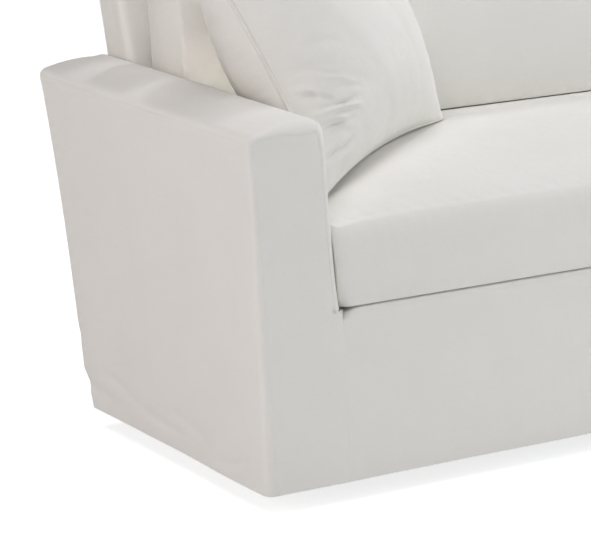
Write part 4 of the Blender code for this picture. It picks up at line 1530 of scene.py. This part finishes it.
@dataclass
class CornerPillow:
    """A knife-edge pillow that leans in the left corner, with its own creases."""

    against: BackCushion
    side: float = 0.53
    half_thick: float = 0.135
    rear_full: float = 0.35
    # Its lower left corner, and its turns in degrees: towards the back, back, and up to the right.
    place: Place = (0.172, 0.091, 0.513)
    turn: float = 36.0
    lean: float = 28.8
    rise: float = 3.0
    drawn_side: float = 0.10
    drawn_low: float = 0.08
    clear: float = 0.003
    # The sewn lip: its depth, and grid lines beside it as shares of that depth.
    lip: float = 0.0034
    lip_half_thick: float = 0.0026
    lip_marks: tuple[float, ...] = (
        0.0, 0.07, 0.2, 0.4, 0.65, 0.88, 1.0, 1.1, 1.3, 1.6, 2.0, 2.5, 3.1, 3.8, 4.5
    )
    pitch: float = 0.0034
    soft_depth: float = 0.0007
    pucker_depth: float = 0.0005
    pucker_pitch: float = 0.022

    def axes(self) -> tuple[Array, Array, Array]:
        """Directions of the pillow's own frame.

        Returns:
            Unit vectors along the lower edge, up the left edge and out of the front.
        """
        turn, lean, rise = np.radians((self.turn, self.lean, self.rise))
        along = np.array((np.cos(turn) * np.cos(rise), np.sin(turn) * np.cos(rise), np.sin(rise)))
        level = np.array((-np.sin(turn), np.cos(turn), 0.0))
        up = np.cos(lean) * np.cross(along, level) + np.sin(lean) * level
        return along, up, np.cross(along, up)

    def _off_the_arm(self, x: Array, z: Array) -> tuple[Array, Array]:
        """Moves sunken points out over the arm's top, round its inner corner or off its inner face.

        The arm's corner is a circle of the fillet's radius, so a point within reach of its centre
        moves straight away from that centre.

        Args:
            x: distance from the hem's left end.
            z: height off the floor.

        Returns:
            The moved x and z.
        """
        fillet = Arm.inner_fillet
        core_x = FORM.inner_x(np.minimum(z, FORM.arm_edge_z)) - fillet
        core_z = FORM.arm_top_z(np.clip(x, -FORM.arm_lean, Arm.inner_top_x)) - fillet
        reach = fillet + self.clear
        a, b = x - core_x, z - core_z
        deep = (a <= 0) & (b <= 0)
        a0 = np.where(deep, np.where(b < a, 1.0, 0.0), np.maximum(a, 0))
        b0 = np.where(deep, np.where(b < a, 0.0, 1.0), np.maximum(b, 0))
        far = np.maximum(np.hypot(a0, b0), 1e-9)
        sunk = deep | (far < reach)
        x = np.where(sunk & (a0 > 0), core_x + a0 * reach / far, x)
        z = np.where(sunk & (b0 > 0), core_z + b0 * reach / far, z)
        return x, z

    def fitted(self, points: Array) -> Array:
        """Keeps points off the back cushion, the seat and the arm.

        Args:
            points: points in the floor frame.

        Returns:
            The points, moved in y, then in z and then round the arm where they were too near.
        """
        x, y, z = (points[..., k].copy() for k in range(3))
        y = np.minimum(y, self.against.front_y(x, z) - FORM.clear)
        z = np.maximum(z, FORM.seat_top_z(x, y) + FORM.clear)
        x, z = self._off_the_arm(x, z)
        return np.stack((x, y, z), axis=-1)

    def build(self) -> bpy.types.Object:
        """Makes the pillow: two full faces that meet in a sewn lip, drawn in between its corners.

        A face's fullness is ((1 - u^2.2) (1 - v^2.2))^0.6 for u and v from 0 at its middle to 1 at
        its lip. The lip's section is a quarter circle.

        Returns:
            The new object.
        """
        along, up, out = self.axes()
        marks = self.lip * np.array(self.lip_marks)
        line = spaced(marks, marks, self.side, self.pitch)
        run_a, run_b = np.meshgrid(line, line)
        half = self.side / 2
        edge = np.minimum(half - np.abs(run_a - half), half - np.abs(run_b - half))
        u, v = run_a / half - 1, run_b / half - 1
        body_u, body_v = (np.clip(np.abs(w) / (1 - self.lip / half), 0, 1) for w in (u, v))
        plump = ((1 - body_u**2.2) * (1 - body_v**2.2)) ** 0.6
        into = np.clip(edge / self.lip, 0, 1)
        lip = self.lip_half_thick * np.sqrt(into * (2 - into))
        a = half + half * u * (1 - self.drawn_side * (1 - v * v))
        b = half + half * v * (1 - self.drawn_low * (1 - u * u))
        middle = np.array(self.place) + a[..., None] * along + b[..., None] * up
        soft = ragged(a + 0.5 * b, 0.085, 41) + 0.7 * ragged(b - 0.6 * a, 0.060, 47)
        pucker = ragged(np.where(body_u > body_v, b, a), self.pucker_pitch, 43)
        pucker = self.pucker_depth * pucker * bell((edge - 0.011) / 0.014)
        shared = self.soft_depth * soft + pucker
        creases = sum(fold.relief(a, b) for fold in PILLOW_CREASES)
        grids = []
        for way, relief, full in ((1.0, creases + shared, 0.0), (-1.0, shared, self.rear_full)):
            fuller = self.half_thick * plump * (1 + full * (1 - v) / 2)
            face = middle + (way * (lip + fuller))[..., None] * out
            normals = grid_normals(face)
            outward = np.sum(normals * out, axis=2, keepdims=True) * way > 0
            normals = np.where(outward, normals, -normals)
            face = self.fitted(face + normals * (relief * ease(plump / 0.25))[..., None])
            grids.append((face, np.stack((a, b), axis=2)))
        return joined("corner_pillow_cloth", grids)


# --- finishes -------------------------------------------------------------------------------------


def linear(code: str) -> tuple[float, float, float, float]:
    """Returns an sRGB hex colour as linear red, green, blue and alpha 1."""
    parts = [int(code[i : i + 2], 16) / 255 for i in (1, 3, 5)]
    return (*[c / 12.92 if c <= 0.04045 else ((c + 0.055) / 1.055) ** 2.4 for c in parts], 1.0)


def add_node(tree: bpy.types.NodeTree, kind: str, settings: dict, links: dict) -> bpy.types.Node:
    """Adds a node.

    Args:
        tree: the material's nodes.
        kind: the node's type name.
        settings: values by property or input name.
        links: output sockets by input name.

    Returns:
        The new node.
    """
    node = tree.nodes.new(kind)
    for key, value in settings.items():
        if isinstance(key, int) or key in node.inputs:
            node.inputs[key].default_value = value
        else:
            setattr(node, key, value)
    for key, socket in links.items():
        tree.links.new(socket, node.inputs[key])
    return node


@dataclass(frozen=True)
class WashedLinen:
    """Garment-washed cotton and linen in plain weave, off-white and matt.

    It gives the eye a dry, chalky surface with slightly uneven threads: a fine cross-hatched grain,
    thicker slub threads here and there, and a faint mottle from washing.
    """

    name: str
    colour: str = "#EFECE6"
    shade: str = "#EBE8E1"
    # Threads are 0.5 mm apart. The grain is drawn over three times as coarse, so that it shows.
    grain_mm: float = 1.8
    slub_mm: float = 5.0
    mottle_mm: float = 111.1
    crumple_mm: float = 24.0
    grain_depth: float = 0.00018
    crumple_depth: float = 0.0005
    roughness: float = 0.88
    ior: float = 1.46
    specular: float = 0.25
    sheen: float = 0.25
    sheen_roughness: float = 0.5

    def material(self) -> bpy.types.Material:
        """Builds the finish from the cloth's own UV map, whose unit is the metre.

        Returns:
            The new material.
        """
        material = bpy.data.materials.new(self.name)
        material.use_nodes = True
        tree = material.node_tree
        tree.nodes.clear()
        cloth = add_node(tree, "ShaderNodeUVMap", {"uv_map": "cloth"}, {}).outputs["UV"]
        warp = self._threads(tree, cloth, (1.0, 0.06))
        weft = self._threads(tree, cloth, (0.06, 1.0))
        weave = add_node(tree, "ShaderNodeMath", {"operation": "ADD"}, {0: warp, 1: weft})
        weave = weave.outputs[0]
        normal = self._relief(tree, cloth, weave)
        surface = add_node(
            tree,
            "ShaderNodeBsdfPrincipled",
            {
                "Roughness": self.roughness,
                "Metallic": 0.0,
                "IOR": self.ior,
                "Sheen Weight": self.sheen,
                "Sheen Roughness": self.sheen_roughness,
                "Specular IOR Level": self.specular,
            },
            {"Base Color": self._tint(tree, cloth, weave), "Normal": normal},
        )
        add_node(tree, "ShaderNodeOutputMaterial", {}, {"Surface": surface.outputs["BSDF"]})
        return material

    def _tint(
        self, tree: bpy.types.NodeTree, cloth: bpy.types.NodeSocket, weave: bpy.types.NodeSocket
    ) -> bpy.types.NodeSocket:
        """Colour that runs from shade to full between threads, with a faint mottle over it.

        Args:
            tree: the material's nodes.
            cloth: position on the cloth in metres.
            weave: height of the threads.

        Returns:
            The colour.
        """
        mottle = add_node(
            tree,
            "ShaderNodeTexNoise",
            {"Scale": 1000 / self.mottle_mm, "Detail": 4.0, "Roughness": 0.55},
            {"Vector": cloth},
        )
        tone = add_node(
            tree,
            "ShaderNodeMath",
            {"operation": "MULTIPLY_ADD", 1: 0.5},
            {0: weave, 2: mottle.outputs["Fac"]},
        )
        share = add_node(
            tree,
            "ShaderNodeMapRange",
            {"From Min": 0.65, "From Max": 1.35},
            {"Value": tone.outputs[0]},
        )
        mix = add_node(
            tree,
            "ShaderNodeMix",
            {"data_type": "RGBA", 6: linear(self.shade), 7: linear(self.colour)},
            {0: share.outputs["Result"]},
        )
        return mix.outputs[2]

    def _relief(
        self, tree: bpy.types.NodeTree, cloth: bpy.types.NodeSocket, weave: bpy.types.NodeSocket
    ) -> bpy.types.NodeSocket:
        """Fine relief: the crumple that washing leaves, and the threads over it.

        Args:
            tree: the material's nodes.
            cloth: position on the cloth in metres.
            weave: height of the threads.

        Returns:
            The normal.
        """
        crumple = add_node(
            tree,
            "ShaderNodeTexNoise",
            {"Scale": 1000 / self.crumple_mm, "Detail": 3.0, "Roughness": 0.5, "Distortion": 0.6},
            {"Vector": cloth},
        )
        creased = add_node(
            tree,
            "ShaderNodeBump",
            {"Strength": 1.0, "Distance": self.crumple_depth},
            {"Height": crumple.outputs["Fac"]},
        )
        bump = add_node(
            tree,
            "ShaderNodeBump",
            {"Strength": 1.0, "Distance": self.grain_depth},
            {"Height": weave, "Normal": creased.outputs["Normal"]},
        )
        return bump.outputs["Normal"]

    def _threads(
        self, tree: bpy.types.NodeTree, cloth: bpy.types.NodeSocket, stretch: Point
    ) -> bpy.types.NodeSocket:
        """Uneven threads that run one way: fine and slubbed noise, both drawn out along them.

        Args:
            tree: the material's nodes.
            cloth: position on the cloth in metres.
            stretch: scale across and up; the smaller one is along the threads.

        Returns:
            The threads' height.
        """
        grain, slub = 1000 / self.grain_mm, 1000 / self.slub_mm
        noises = []
        for across, up, detail in ((grain, grain, 2.0), (slub, slub * 0.5, 3.0)):
            scale = (stretch[0] * across, stretch[1] * up, 1.0)
            drawn = add_node(tree, "ShaderNodeMapping", {"Scale": scale}, {"Vector": cloth})
            settings = {"Scale": 1.0, "Detail": detail}
            links = {"Vector": drawn.outputs["Vector"]}
            noises.append(add_node(tree, "ShaderNodeTexNoise", settings, links).outputs["Fac"])
        threads, slubs = noises
        return add_node(tree, "ShaderNodeMix", {0: 0.4}, {2: threads, 3: slubs}).outputs[0]


# --- studio ---------------------------------------------------------------------------------------


@dataclass(frozen=True)
class Softbox:
    """A square light: bearing from the front to the right and height in degrees, size and power.

    Its power is in watts. It may be aimed elsewhere than at the left end of the seat, have its beam
    narrowed by a grid to a spread in degrees, or light one piece alone.
    """

    name: str
    bearing: float
    height: float
    distance: float
    size: float
    power: float
    tint: str
    aim: Place = (-0.6, -0.4, -0.4)
    spread: float = 180.0
    only: str = ""


SOFTBOXES = (
    Softbox("key", 115.0, 50.0, 6.0, 0.7, 74.0, "#F6F9FF"),
    Softbox("low_key", 90.0, 35.0, 6.0, 0.7, 66.0, "#FAFBFF"),
    Softbox("overhead", 0.0, 89.0, 5.0, 2.0, 42.0, "#FCFCFF"),
    Softbox("front_left", -45.0, 50.0, 5.0, 2.0, 78.0, "#FBFAFF"),
    Softbox("left_wall", -90.0, 15.0, 5.0, 3.0, 72.0, "#FFFAF8"),
    Softbox("camera_side", -35.0, 15.0, 5.0, 3.0, 6.0, "#FFFFFB"),
    Softbox("front_right", 45.0, 15.0, 5.0, 3.0, 88.0, "#F4F9FD"),
    # Brings back the light that the cushion's side turns in the narrow gap beside the pillow.
    Softbox("gap_fill", 15.0, 25.0, 1.2, 0.06, 0.037, "#FFFCF6", (-0.886, -0.292, -0.222), 13.0,
            "back_cushion_left_cloth"),
)


@dataclass
class Studio:
    """White floor and background, soft light all round, a key from the right, and the camera."""

    floor_colour: str = "#FFFFFF"
    floor_glow: float = 0.76
    floor_half: float = 30.0
    # The lens in pixels, its turns, its place in the floor frame, and the frame that it fills.
    focal_px: float = 3115.634
    pitch_deg: float = 12.1602
    yaw_deg: float = 34.8844
    stand: Place = (-2.3638, -4.3163, 1.6299)
    centre_px: Point = (591.393, 179.631)
    frame_px: Point = (591.0, 535.0)
    sensor_mm: float = 36.0

    def build(self) -> None:
        """Makes the floor, the lights and the camera."""
        self._floor()
        self._lights()
        self._camera()

    def _floor(self) -> None:
        """Adds a pale floor on which the sofa would stand, and which glows to the camera alone."""
        far, ground = self.floor_half, -FORM.origin[2]
        mesh = bpy.data.meshes.new("studio_floor")
        corners = [(x, y, ground) for x, y in ((-far, -far), (far, -far), (far, far), (-far, far))]
        mesh.from_pydata(corners, [], [(0, 1, 2, 3)])
        floor = bpy.data.objects.new("studio_floor", mesh)
        bpy.context.scene.collection.objects.link(floor)
        # Matt paint gives the eye an even, pale ground without gloss.
        paint = bpy.data.materials.new("matt_studio_floor")
        paint.use_nodes = True
        shader = paint.node_tree.nodes["Principled BSDF"]
        shader.inputs["Base Color"].default_value = linear(self.floor_colour)
        shader.inputs["Roughness"].default_value = 0.9
        shader.inputs["Emission Color"].default_value = (1.0, 1.0, 1.0, 1.0)
        tree = paint.node_tree
        seen = add_node(tree, "ShaderNodeLightPath", {}, {}).outputs["Is Camera Ray"]
        times = {"operation": "MULTIPLY", 1: self.floor_glow}
        glow = add_node(tree, "ShaderNodeMath", times, {0: seen})
        tree.links.new(glow.outputs[0], shader.inputs["Emission Strength"])
        mesh.materials.append(paint)

    def _lights(self) -> None:
        """Adds the softboxes and a white background that only the camera sees."""
        for box in SOFTBOXES:
            self._softbox(box)
        world = bpy.data.worlds.new("white_room")
        bpy.context.scene.world = world
        world.use_nodes = True
        tree = world.node_tree
        background = tree.nodes["Background"]
        seen = add_node(tree, "ShaderNodeLightPath", {}, {}).outputs["Is Camera Ray"]
        background.inputs["Color"].default_value = (1.0, 1.0, 1.0, 1.0)
        tree.links.new(seen, background.inputs["Strength"])
        bpy.context.scene.view_settings.view_transform = "Standard"

    def _softbox(self, box: Softbox) -> None:
        """Adds one softbox, turned towards the point that it is aimed at.

        Args:
            box: its name, place, size, power, tint and aim, and what it lights.
        """
        data = bpy.data.lights.new(box.name, "AREA")
        data.shape, data.size, data.energy = "SQUARE", box.size, box.power
        data.color = linear(box.tint)[:3]
        data.spread = float(np.radians(box.spread))
        lamp = bpy.data.objects.new(box.name, data)
        bearing, height = np.radians((box.bearing, box.height))
        level = np.cos(height)
        back = np.array((np.sin(bearing) * level, -np.cos(bearing) * level, np.sin(height)))
        right = unit(np.cross((0.0, 0.0, 1.0), back))
        turned = np.eye(4)
        turned[:3, :3] = np.stack((right, np.cross(back, right), back), axis=1)
        turned[:3, 3] = np.array(box.aim) + box.distance * back
        lamp.matrix_world = Matrix(turned.tolist())
        lamp.visible_camera = False
        if box.only:
            alone = bpy.data.collections.new(f"{box.name}_piece")
            alone.objects.link(bpy.data.objects[box.only])
            lamp.light_linking.receiver_collection = alone
            lamp.light_linking.blocker_collection = alone
        bpy.context.scene.collection.objects.link(lamp)

    def _camera(self) -> None:
        """A long lens above and to the front left, shifted so that the left arm fills the frame."""
        pitch, yaw = np.radians(self.pitch_deg), np.radians(self.yaw_deg)
        level, drop = np.cos(pitch), np.sin(pitch)
        right = np.array((np.cos(yaw), -np.sin(yaw), 0.0))
        down = np.array((-np.sin(yaw) * drop, -np.cos(yaw) * drop, -level))
        forward = np.array((np.sin(yaw) * level, np.cos(yaw) * level, -drop))
        turned = np.eye(4)
        turned[:3, :3] = np.stack((right, -down, -forward), axis=1)
        turned[:3, 3] = np.array(self.stand) - FORM.origin
        width, height = self.frame_px
        data = bpy.data.cameras.new("camera")
        data.sensor_fit, data.sensor_width = "HORIZONTAL", self.sensor_mm
        data.lens = self.focal_px / width * self.sensor_mm
        data.shift_x = -(self.centre_px[0] - width / 2) / width
        data.shift_y = (self.centre_px[1] - height / 2) / width
        camera = bpy.data.objects.new("camera", data)
        camera.matrix_world = Matrix(turned.tolist())
        bpy.context.scene.collection.objects.link(camera)
        bpy.context.scene.camera = camera


# --- putting it together --------------------------------------------------------------------------


@dataclass
class Dresser:
    """Gives each piece its finish, hangs it from the root and hides the node that it stands for."""

    cover: bpy.types.Material
    seat: bpy.types.Material
    back: bpy.types.Material
    pillow: bpy.types.Material

    def _finish(
        self, piece: bpy.types.Object, node: str, material: bpy.types.Material
    ) -> None:
        """Puts a material on a piece, makes it ride and hides the node that it replaces.

        Args:
            piece: the finished mesh.
            node: the node that it stands for.
            material: the finish.
        """
        piece.data.materials.append(material)
        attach(piece, "root")
        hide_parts(node)
        log.info("%s: %d faces in %s", piece.name, len(piece.data.polygons), material.name)

    def panel(self, panel: Panel, flat: Point, side: Side = Side.LEFT) -> None:
        """Builds and finishes one sheet of the body cover.

        Args:
            panel: the sheet.
            flat: its width and length before it was hung; not used.
            side: the end of the sofa that it belongs to.
        """
        piece = panel.build(side)
        self._finish(piece, panel.name.removesuffix("_cloth"), self.cover)

    def cushion(self, cushion: SeatCushion | BackCushion) -> None:
        """Builds and finishes one box cushion.

        Args:
            cushion: the seat cushion or a back cushion.
        """
        seat = isinstance(cushion, SeatCushion)
        slot, material = ("seat_linen", self.seat) if seat else ("back_linen", self.back)
        piece = cushion.build()
        self._finish(piece, cushion.node, material)

    def loose_pillow(self, pillow: CornerPillow) -> None:
        """Args:
            pillow: the pillow.
        """
        piece = pillow.build()
        self._finish(piece, "corner_pillow", self.pillow)


def main() -> None:
    """Builds the cover, the cushions and the studio."""
    dresser = Dresser(
        WashedLinen("washed_linen_body").material(),
        WashedLinen("washed_linen_seat").material(),
        WashedLinen("washed_linen_back").material(),
        WashedLinen("washed_linen_pillow", crumple_depth=0.0012).material(),
    )
    for side in Side:
        for panel, flat in Arm(side).panels():
            dresser.panel(panel, flat, side)
    for group in (SeatBase(), Back()):
        for panel, flat in group.panels():
            dresser.panel(panel, flat)
    seat = SeatCushion(
        "seat_cushion_cloth", "seat_cushion", 0.026, 0.011, 0.013, 1, gather=0.0006
    )
    left = BackCushion("back_cushion_left_cloth", "back_cushion_left", 0.045, 0.010, 0.008, 2)
    right = BackCushion(
        "back_cushion_right_cloth", "back_cushion_right", 0.045, 0.010, 0.008, 4, side=Side.RIGHT
    )
    for cushion in (seat, left, right):
        dresser.cushion(cushion)
    dresser.loose_pillow(CornerPillow(left))
    Studio().build()


if __name__ == "__main__":
    main()
